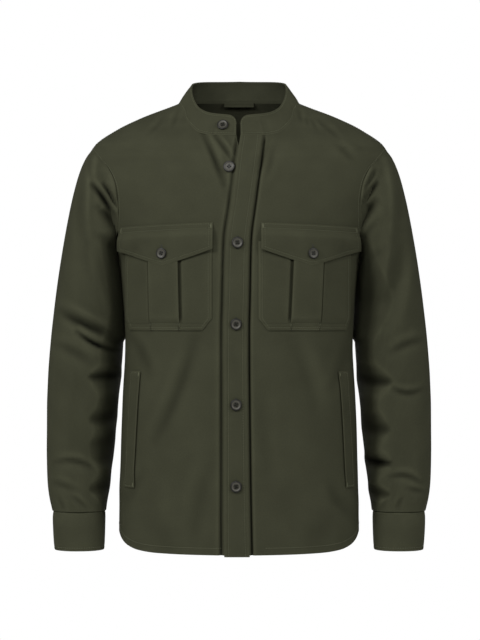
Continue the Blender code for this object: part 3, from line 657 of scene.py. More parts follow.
def finish_shader(material, colour, roughness, specular, normal=None):
    inputs = {"Base Color": colour, "Roughness": roughness, "Specular IOR Level": specular}
    if normal is not None:
        inputs["Normal"] = normal
    shader = add_node(material, "ShaderNodeBsdfPrincipled", inputs)
    add_node(material, "ShaderNodeOutputMaterial", {"Surface": shader.outputs["BSDF"]})


OLIVE, OLIVE_PALE = "#424334", "#5A5B48"
body_twill = twill("garment dyed cotton twill", OLIVE, OLIVE_PALE)
sleeve_twill = twill("cotton twill, sleeves", OLIVE, OLIVE_PALE, edge_wear=0.1)
band_twill = twill("cotton twill, two layers", OLIVE, OLIVE_PALE, edge_wear=0.3)
# a darker copy of the olive: partly the reverse side's own tone, partly painted shade inside the
# jacket
shaded_inside_twill = twill("cotton twill, reverse side, painted shade", "#3A3B2E", OLIVE, edge_wear=0.1)
print("twills made, ribs", RIB, "mm apart")


# %% The other finishes
THREAD_FLECK, THREAD_CONTRAST = 0.6, 0.2  # millimetres, and how strong
STREAK, STREAK_STRETCH = 3, 0.25  # width of horn's streaks, which run along the button's height
STREAK_DARK, STREAK_LIGHT = 0.42, 0.66  # between these two the noise turns to streaks


def thread(name, colour):
    """Spun polyester sewing thread: its twisted plies give flecks, never one even colour."""
    stuff = new_material(name)
    where = add_node(stuff, "ShaderNodeTexCoord").outputs["Object"]
    plies = add_node(
        stuff, "ShaderNodeTexNoise",
        {"Vector": where, "Scale": 1 / (THREAD_FLECK * MM), "Detail": 1},
    ).outputs["Fac"]
    dark, light = shade(colour, 1 - THREAD_CONTRAST), shade(colour, 1 + THREAD_CONTRAST)
    mixed = add_node(
        stuff, "ShaderNodeMix", {FACTOR: plies, FIRST: dark, SECOND: light}, data_type="RGBA"
    ).outputs[MIXED]
    finish_shader(stuff, mixed, 0.6, 0.35)
    return stuff


def horn(name, dark, light, pale):
    """Buffalo horn, turned and polished: nearly black, with streaks, and a painted highlight ring.
    """
    stuff = new_material(name)
    where = add_node(stuff, "ShaderNodeTexCoord").outputs["Object"]
    stretched = add_node(
        stuff, "ShaderNodeMapping", {"Vector": where, "Scale": (1, 1, STREAK_STRETCH)}
    ).outputs["Vector"]
    streaks = add_node(
        stuff, "ShaderNodeTexNoise",
        {"Vector": stretched, "Scale": 1 / (STREAK * MM), "Detail": 4, "Distortion": 1.5},
    ).outputs["Fac"]
    sharper = add_node(
        stuff, "ShaderNodeMapRange",
        {"Value": streaks, "From Min": STREAK_DARK, "From Max": STREAK_LIGHT},
    ).outputs["Result"]
    streaked = add_node(
        stuff, "ShaderNodeMix", {FACTOR: sharper, FIRST: linear(dark), SECOND: linear(light)},
        data_type="RGBA",
    ).outputs[MIXED]
    # a pale ring painted round the dished middle: a painted highlight of the polish
    dish_highlight = add_node(stuff, "ShaderNodeAttribute", attribute_name="dish_highlight").outputs["Fac"]
    ringed = add_node(
        stuff, "ShaderNodeMix", {FACTOR: dish_highlight, FIRST: streaked, SECOND: linear(pale)},
        data_type="RGBA",
    ).outputs[MIXED]
    finish_shader(stuff, ringed, 0.42, 0.4)
    return stuff


olive_thread = thread("olive topstitch thread", "#63654E")
# dark thread: partly the thread's own colour, partly painted shade in buttonhole slits and button
# holes
dark_thread_and_painted_shade = thread("dark thread with painted shade", "#2C2E21")
# the third colour is the painted highlight ring
button_horn = horn("polished horn", "#0B0B09", "#23221C", "#55534A")
print("threads and horn made")

# %% [markdown]
# ## Fronts and back
# The fronts and the back are the large panels. Seen flat, each is a sheet between four edges:
# the side seam with the armhole and the shoulder seam, the centre or the other side, the hem
# and the neck seam. A Coons patch fills the sheet between the four edges, which keeps the
# grid even. The form and its creases then give every point its depth.

# %% Edges of the panels
SIDE_ROWS, ARMHOLE_ROWS, SHOULDER_ROWS = 11, 10, 3
BODY_ROWS = SIDE_ROWS + ARMHOLE_ROWS + SHOULDER_ROWS
Rise = namedtuple("Rise", "row height")
FRONT_RISE = (
    Rise(0, CENTRE_HEM),
    Rise(SIDE_ROWS, -287),
    Rise(SIDE_ROWS + ARMHOLE_ROWS, -106),
    Rise(BODY_ROWS, CENTRE_NECK),
)
SHOULDER_LEAN = 6  # degrees that the shoulder seam lies in front of the side seam
ARMHOLE_TOP, ARMHOLE_LOW = -72, -270
ARMHOLE_FRONT, ARMHOLE_BACK = (33.5, 16), (28, 12)  # width in degrees, and how much more on top
PLACKET_UNDERLAP = 4
BODY_CLOTH = 1.2
FINE_ROWS = steps((0, SIDE_ROWS, SIDE_ROWS + ARMHOLE_ROWS, BODY_ROWS), (112, 66, 44))


def armhole(turn, at_front):
    """Angle and height on the armhole seam: turn 0 at the shoulder, 180 under the arm."""
    up, round_side = math.cos(math.radians(turn)), math.sin(math.radians(turn))
    mean, more = ARMHOLE_FRONT if at_front else ARMHOLE_BACK
    apart = (mean + more * up) * round_side
    height = (ARMHOLE_TOP + ARMHOLE_LOW) / 2 + (ARMHOLE_TOP - ARMHOLE_LOW) / 2 * up
    return Vector((90 - apart if at_front else 90 + apart, height))


def shoulder_angle(share):
    """The shoulder seam comes forwards from the armhole, a share of the way to the neck."""
    return 90 - SHOULDER_LEAN * ease(1.5 * share)


def outer_edge(row, at_front):
    """Angle and height along the side seam, the armhole and the shoulder seam."""
    if row <= SIDE_ROWS:
        return Vector((90, between(hem(90), ARMHOLE_LOW, row / SIDE_ROWS)))
    if row <= SIDE_ROWS + ARMHOLE_ROWS:
        return armhole(180 * (SIDE_ROWS + ARMHOLE_ROWS - row) / ARMHOLE_ROWS, at_front)
    share = (row - SIDE_ROWS - ARMHOLE_ROWS) / SHOULDER_ROWS
    angle = shoulder_angle(share)
    return Vector((angle, between(ARMHOLE_TOP, neck_seam(angle), share)))


def from_front(angle):
    """The same place counted the short way from the centre front, 180 at the most."""
    return abs(angle) if abs(angle) <= 180 else 360 - abs(angle)


def hem(angle):
    return curve(HEM, "angle", "height")(from_front(angle))


def neck_seam(angle):
    return curve(NECK_SEAM, "angle", "height")(from_front(angle))


def filled(s, t, near, far, low, high):
    """A smooth sheet of angle and height between four edges, which meet at its corners."""
    sides = near(t) * (1 - s) + far(t) * s
    ends = low(s) * (1 - t) + high(s) * t
    corners = (near(0) * (1 - s) + far(0) * s) * (1 - t) + (near(1) * (1 - s) + far(1) * s) * t
    return sides + ends - corners


print("rows up a panel:", len(FINE_ROWS) - 1)

# %% The two fronts and the back
FRONT_COLUMNS, BACK_COLUMNS = 100, 132
TOWARDS_BAND = 1.35  # the columns of a front stand closer together towards the front band
FRONT_GAP, BACK_GAP = 0.0006, 0.0003  # share of its width that a panel ends short of a side seam


def front_edge(side, height):
    if side == "left":
        return curve(PLACKET, "height", "right")(height) - PLACKET_UNDERLAP
    return -curve(PLACKET, "height", "under")(height)


def front_sheet(side):
    """Angle and height at column share s and row share t of a front."""

    @lru_cache(maxsize=None)
    def near(t):
        height = curve(FRONT_RISE, "row", "height")(t * BODY_ROWS)
        return Vector((angle_at(front_edge(side, height), height), height))

    @lru_cache(maxsize=None)
    def far(t):
        return outer_edge(t * BODY_ROWS, True)

    def low(s):
        angle = between(near(0).x, far(0).x, s)
        return Vector((angle, hem(angle)))

    def high(s):
        angle = between(near(1).x, far(1).x, s)
        return Vector((angle, neck_seam(angle)))

    return lambda s, t: filled(s, t, near, far, low, high)


def make_front(side):
    sheet = front_sheet(side)

    def place(i, j):
        s = (i / FRONT_COLUMNS) ** TOWARDS_BAND * (1 - FRONT_GAP)
        angle, height = sheet(s, FINE_ROWS[j] / BODY_ROWS)
        return on_body(WAY[side] * angle, height)[0]

    return cloth(
        f"front_{side}_cloth", FRONT_COLUMNS, len(FINE_ROWS) - 1, place, away_from_axis,
        BODY_CLOTH, body_twill,
    )


def make_back():
    @lru_cache(maxsize=None)
    def near(t):
        return outer_edge(t * BODY_ROWS, False)

    @lru_cache(maxsize=None)
    def far(t):
        angle, height = near(t)
        return Vector((360 - angle, height))

    def low(s):
        angle = between(90, 270, s)
        return Vector((angle, hem(angle)))

    def high(s):
        angle = between(near(1).x, far(1).x, s)
        return Vector((angle, neck_seam(angle)))

    def place(i, j):
        s = between(BACK_GAP, 1 - BACK_GAP, i / BACK_COLUMNS)
        angle, height = filled(s, FINE_ROWS[j] / BODY_ROWS, near, far, low, high)
        return on_body(angle, height)[0]

    return cloth(
        "back_cloth", BACK_COLUMNS, len(FINE_ROWS) - 1, place, away_from_axis,
        BODY_CLOTH, body_twill,
    )


made = {}  # each finished piece by the CAD node that it stands for
for each_side in WAY:
    made[f"front_{each_side}"] = make_front(each_side)
made["back"] = make_back()
print("panels:", {name: rounded(size, 2) for name, size in flat_sizes.items()})

# %% [markdown]
# ## The front band
# The two fronts meet under a band of two layers. It belongs to the wearer's left front and lies
# over the right one. It is cut straight, and follows the fronts' form. Its edges are folds, so
# it falls to the cloth below in the last two millimetres, and two rows of stitches draw it in.

# %% The band and how stitches draw cloth in
PLACKET_CLOTH, SEAT = 1.5, 0.45
PLACKET_RISE = SEAT + 2.2  # outer face above the fronts
PLACKET_SEW = 7.0  # millimetres from each edge to its row of stitches
PLACKET_FALL = 1.3  # how far its edges fall to the cloth below
PLACKET_LOW, PLACKET_FINER, PLACKET_TOP = CENTRE_HEM - 2, -228, -58.4  # finer above the middle
PLACKET_MARKS = (0, 0.5, 1.2, 2.2, 4.2, 5.6, 7, 8.4, 10, 13, 16)
FOLD_WIDTH, FOLD_BEND = 2.4, 1.3  # millimetres over which a folded edge falls, and how sharply
DRAWN_IN, DRAWN_WIDTH = 0.42, 1.1  # depth and half width of the dent along a row of stitches
PUCKER, PUCKER_WIDTH = 0.28, 6  # height and reach of the puckers beside a row
PUCKER_LONG, PUCKER_SHORT, PUCKER_SHARE = 7, 3, 0.6  # two lengths of them, and the short one's part


def both_ways(marks):
    """Distances from the left edge where it is not None, then from the right edge."""
    return [(mark, None) for mark in marks] + [(None, mark) for mark in reversed(marks)]


def folded_edge(distance, fall, rows, wave=0.0):
    """Height of a sewn fold above its flat part: it falls at its edge and at each stitch row."""
    drop = fall * (1 - ease(distance / FOLD_WIDTH)) ** FOLD_BEND
    drawn = sum(DRAWN_IN * bump_at(distance - row, DRAWN_WIDTH) for row in rows)
    pucker = PUCKER * wave * bump_at(distance - rows[0], PUCKER_WIDTH)
    return -drop - drawn + pucker


def ripple(place, seed):
    """Cloth puckers between stitches: an uneven wave of about 1 along a seam."""
    coarse = noise.noise(Vector((place / PUCKER_LONG, seed, 0)))
    return coarse + PUCKER_SHARE * noise.noise(Vector((place / PUCKER_SHORT, seed, 5)))


def placket_point(from_left, from_right, height):
    left, right = band_edges(height)
    if from_right is None:
        x, edge, seed = left + from_left, from_left, 1
    else:
        x, edge, seed = right - from_right, from_right, 2
    point, outward = front_spot(x, height)
    fold = folded_edge(edge, PLACKET_FALL, (PLACKET_SEW,), ripple(height, seed))
    return point + outward * (PLACKET_RISE + fold)


def make_placket():
    across = both_ways(PLACKET_MARKS)
    heights = steps((PLACKET_LOW, PLACKET_FINER, PLACKET_TOP), (180, 80))

    def place(i, j):
        return placket_point(*across[i], heights[j])

    return cloth(
        "placket_cloth", len(across) - 1, len(heights) - 1, place, forwards,
        PLACKET_CLOTH, band_twill,
    )


made["placket"] = make_placket()
print("front band:", rounded(flat_sizes["placket_cloth"]))

# %% [markdown]
# ## The collar
# A band collar is a strip of two layers with an interlining, so it stands by itself. It rises
# from the neck seam and leans in, and its two front corners are rounded. It is cut almost
# straight and sewn to a curved neckline, which is what makes it lean.

# %% The collar band
Stand = namedtuple("Stand", "turn body_angle top")
COLLAR = (
    Stand(0, 0, -26),
    Stand(15, 6, -24),
    Stand(28, 12, -22),
    Stand(37, 16, -20),
    Stand(54, 24, -12),
    Stand(65, 31, -2),
    Stand(77, 40, 12),
    Stand(88, 65, 24),
    Stand(98, 90, 31),
    Stand(139, 135, 38),
    Stand(180, 180, 40),
)
COLLAR_TOP_HALF_WIDTH, COLLAR_TOP_FRONT, COLLAR_TOP_BACK = 76, 63, 54
COLLAR_ENDS = (3.0, 1.7)  # degrees from the centre front to its right and its left end
COLLAR_CORNER, COLLAR_BOW = 13, 1.0  # radius of its front corners, and how far its face bows out
COLLAR_CROWD = 0.55  # how much closer its columns stand at the two ends than at the back
COLLAR_LAP, COLLAR_STAND_OFF = 1.0, 1.7  # its foot takes the body's edge between its layers
COLLAR_CLOTH, COLLAR_COLUMNS = 2.6, 190
COLLAR_HEIGHT, COLLAR_SEW = 45, (0.11, 0.91)  # its rows of stitches, as shares of its height
COLLAR_DRAWN, COLLAR_DRAWN_WIDTH = 0.35, 1.6
COLLAR_WAVE, COLLAR_WAVE_SIZE = 0.5, 16
COLLAR_RISES = (
    0, 0.02, 0.05, 0.09, 0.13, 0.18, 0.26, 0.36, 0.48, 0.6, 0.72, 0.82, 0.88, 0.92, 0.96, 0.985, 1,
)


def collar_spot(turn, rise):
    """A point on the outer face of the collar: turn 0 at the front, 180 at the back."""
    side, turn = math.copysign(1, turn), abs(turn)
    angle = curve(COLLAR, "turn", "body_angle")(turn)
    base, _ = on_body(angle, neck_seam(angle))
    across, along = math.sin(math.radians(turn)), math.cos(math.radians(turn))
    depth = COLLAR_TOP_FRONT if along > 0 else COLLAR_TOP_BACK
    top = Vector((COLLAR_TOP_HALF_WIDTH * across, -depth * along, 0))
    top.z = curve(COLLAR, "turn", "top")(turn)
    bowed = COLLAR_BOW * math.sin(math.pi * rise) + COLLAR_STAND_OFF * (1 - rise)
    away = Vector((across, -along, 0)) * bowed
    point = base.lerp(top, rise) + away - Vector((0, 0, COLLAR_LAP * (1 - rise)))
    return Vector((point.x * side, point.y, point.z))


def collar_turn(share):
    right_end, left_end = COLLAR_ENDS
    share -= COLLAR_CROWD * math.sin(2 * math.pi * share) / (2 * math.pi)
    turn = right_end + (360 - right_end - left_end) * share
    return -turn if turn <= 180 else 360 - turn


def collar_full_height(share):
    """The band is lower in its two rounded front corners."""
    turn, end = collar_turn(share), collar_turn(0 if share < 0.5 else 1)
    inset = (collar_spot(turn, 1) - collar_spot(end, 1)).length
    stand = (collar_spot(turn, 1) - collar_spot(turn, 0)).length
    short = max(COLLAR_CORNER - inset, 0)
    return 1 - (COLLAR_CORNER - math.sqrt(COLLAR_CORNER**2 - short**2)) / stand


def make_collar():
    heights = [collar_full_height(i / COLLAR_COLUMNS) for i in range(COLLAR_COLUMNS + 1)]

    def place(i, j):
        rise = COLLAR_RISES[j]
        point = collar_spot(collar_turn(i / COLLAR_COLUMNS), rise * heights[i])
        rows = ((rise - row) * COLLAR_HEIGHT for row in COLLAR_SEW)
        drawn = COLLAR_DRAWN * sum(bump_at(distance, COLLAR_DRAWN_WIDTH) for distance in rows)
        slack = COLLAR_WAVE * unevenness(point, COLLAR_WAVE_SIZE, 3) * math.sin(math.pi * rise)
        inwards = Vector((point.x, point.y, 0)).normalized()
        return point - inwards * (drawn - slack)

    return cloth(
        "collar_cloth", COLLAR_COLUMNS, len(COLLAR_RISES) - 1, place, away_from_axis,
        COLLAR_CLOTH, band_twill, rim=0.8,
    )


made["collar"] = make_collar()
print("collar:", rounded(flat_sizes["collar_cloth"]))

# %% [markdown]
# ## Sleeves and cuffs
# A sleeve is a tube that starts as the armhole and turns into a plain oval down the arm. The
# arm hangs a little bent, so the cloth breaks into creases at the armhole, in the crook of the
# elbow and where it stacks up above the cuff. Down the front runs a ridge, and the part between
# it and the body falls back into shade: each crease cuts a tooth into that ridge. The cuff is a
# strip wound round the wrist, whose end laps over its start and is buttoned there.

# %% Sizes and creases of a sleeve, written for the left one
Ring = namedtuple("Ring", "number outer_x outer_z inner_x inner_z depth shift")
SLEEVE = (
    Ring(0, 233, -72, 190, -270, 66, 2),
    Ring(1, 246, -91, 191, -274, 69, 2),
    Ring(2, 256, -115, 191.5, -279, 71, 2),
    Ring(3, 266, -152, 191.5, -287, 72, 2),
    Ring(4, 275, -195, 190, -300, 72, 3),
    Ring(5, 283, -240, 188.7, -318, 71, 4),
    Ring(6, 290, -285, 187.3, -342, 70, 5),
    Ring(7, 296, -330, 186.5, -368, 68, 7),
    Ring(8, 302, -385, 188, -398, 66, 8),
    Ring(9, 306, -440, 191.5, -442, 63, 8),
    Ring(10, 307.5, -490, 196, -490, 60, 6),
    Ring(11, 307.5, -545, 200.5, -545, 56, 2),
    Ring(12, 306, -600, 206, -600, 52, -4),
    Ring(13, 302, -632, 210, -632, 48, -8),
    Ring(14, 296.5, -650, 213, -650, 45, -10),
)
CUFF = (
    Ring(0, 296, -650.4, 213.5, -650.4, 44.5, -10),
    Ring(1, 297, -662, 213, -662, 45, -10.5),
    Ring(2, 296, -685, 213.5, -685, 44, -11),
    Ring(3, 294, -712, 214.5, -712, 42, -12),
)
SLEEVE_POWER = 2.15  # its rings are this much fuller than an ellipse, which has 2
ARMHOLE_FADE = 3.0  # rings down the arm over which the armhole's shape is lost
SLEEVE_CLEAR, SLEEVE_TOUCH, LEAN_IN = 2.2, 0.4, 8  # clear of the body, leaning on it, how hard
SLEEVE_PARTS, SLEEVE_PARTS_OVER = -384, 16  # below this height daylight shows beside the body
SLEEVE_FRONT = (
    Crease(232, -130, 194, -188, 0, 13, 3.0),
    Crease(216, -172, 192, -214, 0, 12, 3.0),
    Crease(248, -165, 244, -265, 0, 15, 3.0),
)
SLEEVE_FRONT_RIGHT = (
    Crease(231, -88, 237, -214, 5, 8, -6.0),
    Crease(236, -206, 204, -336, -6, 9, -3.0),
    Crease(226, -110, 196, -200, 3, 12, 8.0),
    Crease(236, -86, 231, -138, -3, 5, 3.5),
    Crease(231, -134, 188, -200, 3, 4.4, 9.5),
    Crease(213, -134, 188, -182, 2, 3.9, 7.5),
    Crease(217, -172, 186, -212, 2, 8, 12),
    Crease(224, -212, 190, -254, 4, 7, 3.4),
    Crease(281, -334, 192, -376, -3, 9, 8.5),
    Crease(254, -366, 186, -398, -6, 5, 8.0),
    Crease(299, -384, 236, -414, 4, 9, 2.6),
    Crease(292, -572, 228, -582, 8, 5, 2.4),
    Crease(298, -604, 258, -616, 2, 6, 2.0),
    Crease(262, -625, 240, -646, 1, 4.5, 2.3),
    Crease(284, -628, 276, -648, 0, 4.5, 2.1),
)
SLEEVE_FRONT_LEFT = (
    Crease(232, -84, 240, -206, 5, 9, -5.5),
    Crease(240, -200, 212, -330, -5, 10, -2.6),
    Crease(228, -106, 195, -194, 3, 12, 8.0),
    Crease(214, -112, 194, -152, 1, 4, 7.0),
    Crease(216, -132, 188, -178, 2, 4.3, 9.5),
    Crease(213, -162, 186, -202, 2, 8, 12),
    Crease(216, -192, 188, -240, 3, 6.5, 3.6),
    Crease(226, -236, 196, -276, 4, 8, 3.0),
    Crease(260, -210, 228, -350, -4, 12, 9.0),
    Crease(282, -230, 256, -350, -4, 9, -2.4),
    Crease(299, -377, 240, -398, 4, 7, 2.8),
    Crease(243, -456, 292, -456, -6, 5, 2.8),
    Crease(238, -594, 286, -604, 7, 5, 2.8),
    Crease(266, -612, 298, -620, 0, 4.5, 2.2),
    Crease(258, -626, 250, -647, 1, 4.5, 2.3),
    Crease(232, -624, 224, -646, 0, 4.5, 2.1),
)
Fall = namedtuple("Fall", "height ridge")  # how far out the ridge down a sleeve's front lies
FALL_RIGHT = (
    Fall(-150, 196), Fall(-184, 206), Fall(-212, 218), Fall(-251, 215), Fall(-299, 208),
    Fall(-334, 206), Fall(-362, 211), Fall(-400, 219), Fall(-420, 219), Fall(-437, 240),
    Fall(-449, 232), Fall(-467, 222), Fall(-484, 226), Fall(-504, 238), Fall(-523, 228),
    Fall(-544, 237), Fall(-566, 234), Fall(-587, 220), Fall(-614, 238), Fall(-630, 224),
    Fall(-648, 216),
)
FALL_LEFT = (
    Fall(-150, 195), Fall(-184, 203), Fall(-220, 208), Fall(-255, 218), Fall(-290, 235),
    Fall(-315, 243), Fall(-342, 234), Fall(-368, 221), Fall(-387, 212), Fall(-414, 213),
    Fall(-428, 226), Fall(-445, 244), Fall(-458, 232), Fall(-472, 221), Fall(-488, 220),
    Fall(-503, 230), Fall(-520, 240), Fall(-538, 228), Fall(-557, 221), Fall(-573, 244),
    Fall(-586, 228), Fall(-603, 219), Fall(-622, 240), Fall(-636, 223), Fall(-648, 218),
)
FALL_STEEPNESS, FALL_GROWTH = 1.1, 1.35
FALL_START, FALL_OVER = -204, 30  # the part beside the body falls back from this height down
SLEEVE_BACK = (
    Crease(240, -120, 198, -190, 0, 14, 3.8),
    Crease(222, -180, 196, -226, 0, 13, 3.8),
    Crease(284, -352, 200, -330, 0, 15, 4.0),
    Crease(292, -408, 214, -386, 0, 14, 3.8),
    Crease(262, -468, 198, -456, 0, 14, 3.2),
    Crease(284, -530, 208, -546, 0, 14, 3.2),
    Crease(228, -130, 198, -174, 3, 6, 2.8),
    Crease(214, -196, 194, -240, -3, 6, 2.8),
    Crease(288, -322, 226, -306, 4, 7, 2.8),
    Crease(262, -372, 194, -356, -4, 7, 3.0),
    Crease(296, -436, 230, -420, 4, 7, 2.5),
    Crease(252, -500, 200, -494, 3, 7, 2.4),
    Crease(296, -566, 236, -574, -3, 8, 2.6),
    Crease(262, -604, 212, -598, 3, 7, 2.1),
    Crease(236, -618, 240, -648, 1, 5, 1.9),
    Crease(254, -616, 258, -648, -1, 5, 2.0),
)
print("sleeve rings:", len(SLEEVE), "cuff rings:", len(CUFF))

# %% The form of a sleeve as functions
ELBOW_RING = 7
SLEEVE_WAVE, SLEEVE_WAVE_SIZE = 0.8, 26
CALM_EDGES, CALM_START = 0.35, 0.14  # creases die out at the sides, and start below the armhole
TOP_RING, LOW_RING = 18, 20  # millimetres from ring to ring, near the armhole and near the cuff
SEAM_ROLL, SEAM_ROLL_WIDTH, ROLL_START = 1.1, 7, 0.05
CUFF_ROLL, CUFF_ROLL_WIDTH = 1.0, 9


def oval(rings, number, turn, swell=0):
    """A point on a leaning oval ring: turn 0 at the outer edge, 90 at the front."""
    x0, z0, x1, z1, depth, shift = (
        curve(rings, "number", name)(number)
        for name in ("outer_x", "outer_z", "inner_x", "inner_z", "depth", "shift")
    )
    centre = Vector(((x0 + x1) / 2, shift, (z0 + z1) / 2))
    outwards = Vector(((x0 - x1) / 2, 0, (z0 - z1) / 2))
    across, along = math.cos(math.radians(turn)), -math.sin(math.radians(turn))
    reach = (abs(across) ** SLEEVE_POWER + abs(along) ** SLEEVE_POWER) ** (-1 / SLEEVE_POWER)
    arm = outwards * across * reach + Vector((0, depth * along * reach, 0))
    return centre + arm * (1 + swell / arm.length)


def body_side(y, z):
    """How far out the body's form reaches at a depth and a height."""
    half_width, front, back, power = section(z)
    share = min(abs(y) / (front if y < 0 else back), 1)
    return half_width * (1 - share**power) ** (1 / power)


def sleeve_spot(turn, number, side):
    """A point on a sleeve: ring 0 is the armhole seam."""
    point = oval(SLEEVE, number, turn)
    at_front = turn % 360 <= 180
    if number < ARMHOLE_FADE:
        point += from_ring_to_seam(turn % 360, at_front) * (1 - number / ARMHOLE_FADE) ** 2
    own = SLEEVE_FRONT_RIGHT if side == "right" else SLEEVE_FRONT_LEFT
    depth = relief(SLEEVE_FRONT + own if at_front else SLEEVE_BACK, point.x, point.z)
    depth *= abs(math.sin(math.radians(turn))) ** CALM_EDGES * ease(number / CALM_START)
    wave = unevenness(point, SLEEVE_WAVE_SIZE, 7 if side == "right" else 19)
    depth -= SLEEVE_WAVE * wave * ease(number)
    outer, inner = oval(SLEEVE, number, 0), oval(SLEEVE, number, 180)
    behind = max(point.y - inner.y, 0) / curve(SLEEVE, "number", "depth")(number)
    back = fall_back(point, inner.x, side) * (1 - min(behind, 1))
    inwards = ((outer + inner) / 2 - point).normalized()
    point += inwards * sleeve_roll(number) * ease(number / ROLL_START)
    point.y += back + (depth if at_front else -depth)
    leaning = ease((point.z - SLEEVE_PARTS) / SLEEVE_PARTS_OVER)
    point.x -= LEAN_IN * leaning * ease(number / 2) * max(-math.cos(math.radians(turn)), 0) ** 3
    clear = between(SLEEVE_CLEAR, SLEEVE_TOUCH, leaning) * ease(4 * number)
    point.x = max(point.x, body_side(point.y, point.z) + clear)
    return point


def from_ring_to_seam(turn, at_front):
    """The way from a sleeve's first ring to the armhole seam, which isn't flat."""
    seam, _ = on_body(*armhole(turn if at_front else 360 - turn, at_front))
    return seam - oval(SLEEVE, 0, turn)


def sleeve_roll(number):
    """How far a sleeve is drawn in just below the armhole seam, and rolls out above the cuff."""
    at_seam = SEAM_ROLL * bump_at(number * TOP_RING, SEAM_ROLL_WIDTH)
    return at_seam - CUFF_ROLL * bump_at((SLEEVE[-1].number - number) * LOW_RING, CUFF_ROLL_WIDTH)


def fall_back(point, inner_x, side):
    """How far the inner part of a sleeve falls back behind the ridge down its front."""
    falls = FALL_RIGHT if side == "right" else FALL_LEFT
    ridge = curve(falls, "height", "ridge")(point.z)
    span = max(ridge - inner_x, 1)
    share = max(ridge - point.x, 0) / span
    begun = ease((FALL_START - point.z) / FALL_OVER)
    return FALL_STEEPNESS * span * begun * share**FALL_GROWTH


def mirrored(point, side):
    return Vector((-point.x, point.y, point.z)) if side == "right" else point


def away_from_arm(place):
    """Roughly the way out of a sleeve, from the middle of its ring at the elbow."""
    centre = (oval(SLEEVE, ELBOW_RING, 0) + oval(SLEEVE, ELBOW_RING, 180)) / 2 * MM
    return Vector((place.x - math.copysign(centre.x, place.x), place.y - centre.y, 0))


print("front of the left elbow:", rounded(sleeve_spot(90, ELBOW_RING, "left"), 1))

# %% Making the sleeves
SLEEVE_COLUMNS, SLEEVE_ROWS = 144, 176
CROWDING, CROWDED_AT = 0.4, 120  # the columns stand closest together on the inner front
SLEEVE_SEAM = 0.4  # the sleeve starts this far down the arm from the armhole seam


def sleeve_turn(share):
    """The turn of a column, at a share of the way round the sleeve."""
    even = 360 * share
    crowded = math.sin(math.radians(even - CROWDED_AT)) + math.sin(math.radians(CROWDED_AT))
    return even - math.degrees(CROWDING) * crowded


def make_sleeve(side):
    def place(i, j):
        turn = sleeve_turn((i % SLEEVE_COLUMNS) / SLEEVE_COLUMNS)
        point = sleeve_spot(turn, SLEEVE[-1].number * j / SLEEVE_ROWS, side)
        if j == 0:
            point += Vector((SLEEVE_SEAM, 0, -SLEEVE_SEAM / 2))
        return mirrored(point, side)

    return cloth(
        f"sleeve_{side}_cloth", SLEEVE_COLUMNS, SLEEVE_ROWS, place, away_from_arm,
        BODY_CLOTH, sleeve_twill, closed=True, rim=0,
    )


for each_side in WAY:
    made[f"sleeve_{each_side}"] = make_sleeve(each_side)
print("sleeve:", rounded(flat_sizes["sleeve_left_cloth"]))

# %% Making the cuffs
CUFF_COLUMNS = 150
CUFF_START, CUFF_LAP, CUFF_CLIMB = 298, 26, 40  # degrees: it climbs before it laps
CUFF_TURN = 360 + CUFF_LAP
CUFF_CLOTH, CUFF_LIFT = 2.4, 3.6  # thickness, and how far the end climbs over the start
CUFF_DEPTH = 61.6  # height of the strip
CUFF_FALL, CUFF_SEW = 0.5, 4  # how far its edges fall, and its rows of stitches inside them
CUFF_WAVE, CUFF_WAVE_SIZE = 0.5, 20
CUFF_MARKS = (0, 0.6, 1.6, 2.8, 4, 5.2, 7, 12, 18, 24, 30)
DEGREE = 0.7  # millimetres that a degree measures along the cuff


def cuff_point(past_start, from_top, side):
    """A point of the cuff's outer face: degrees past its start, and millimetres down."""
    turn = CUFF_START + past_start
    climb = CUFF_LIFT * ease((past_start - (360 - CUFF_CLIMB)) / CUFF_CLIMB)
    number = CUFF[-1].number * from_top / CUFF_DEPTH
    edge = min(from_top, CUFF_DEPTH - from_top)
    wave = ripple(past_start * DEGREE, 11 if side == "left" else 12)
    fold = folded_edge(edge, CUFF_FALL, (CUFF_SEW,), wave)
    spot = oval(CUFF, number, turn)
    soft = CUFF_WAVE * unevenness(spot, CUFF_WAVE_SIZE, 23 if side == "left" else 31)
    return mirrored(oval(CUFF, number, turn, climb + fold + soft), side)


def make_cuff(side):
    down = list(CUFF_MARKS) + [CUFF_DEPTH - mark for mark in reversed(CUFF_MARKS)]

    def place(i, j):
        return cuff_point(CUFF_TURN * i / CUFF_COLUMNS, down[j], side)

    return cloth(
        f"cuff_{side}_cloth", CUFF_COLUMNS, len(down) - 1, place, away_from_arm,
        CUFF_CLOTH, band_twill, rim=0.7,
    )


for each_side in WAY:
    made[f"cuff_{each_side}"] = make_cuff(each_side)
print("cuff:", rounded(flat_sizes["cuff_left_cloth"]))

# %% [markdown]
# ## Chest pockets
# Each chest pocket is a patch with clipped lower corners and a box pleat down its middle. The
# pleat is real folded cloth here: the patch runs in under it, turns, comes back out and turns
# over the pleat's edge, in three layers. That leaves the open dark line beside the pleat that
# the real pocket shows. Across the foot the layers are sewn flat.

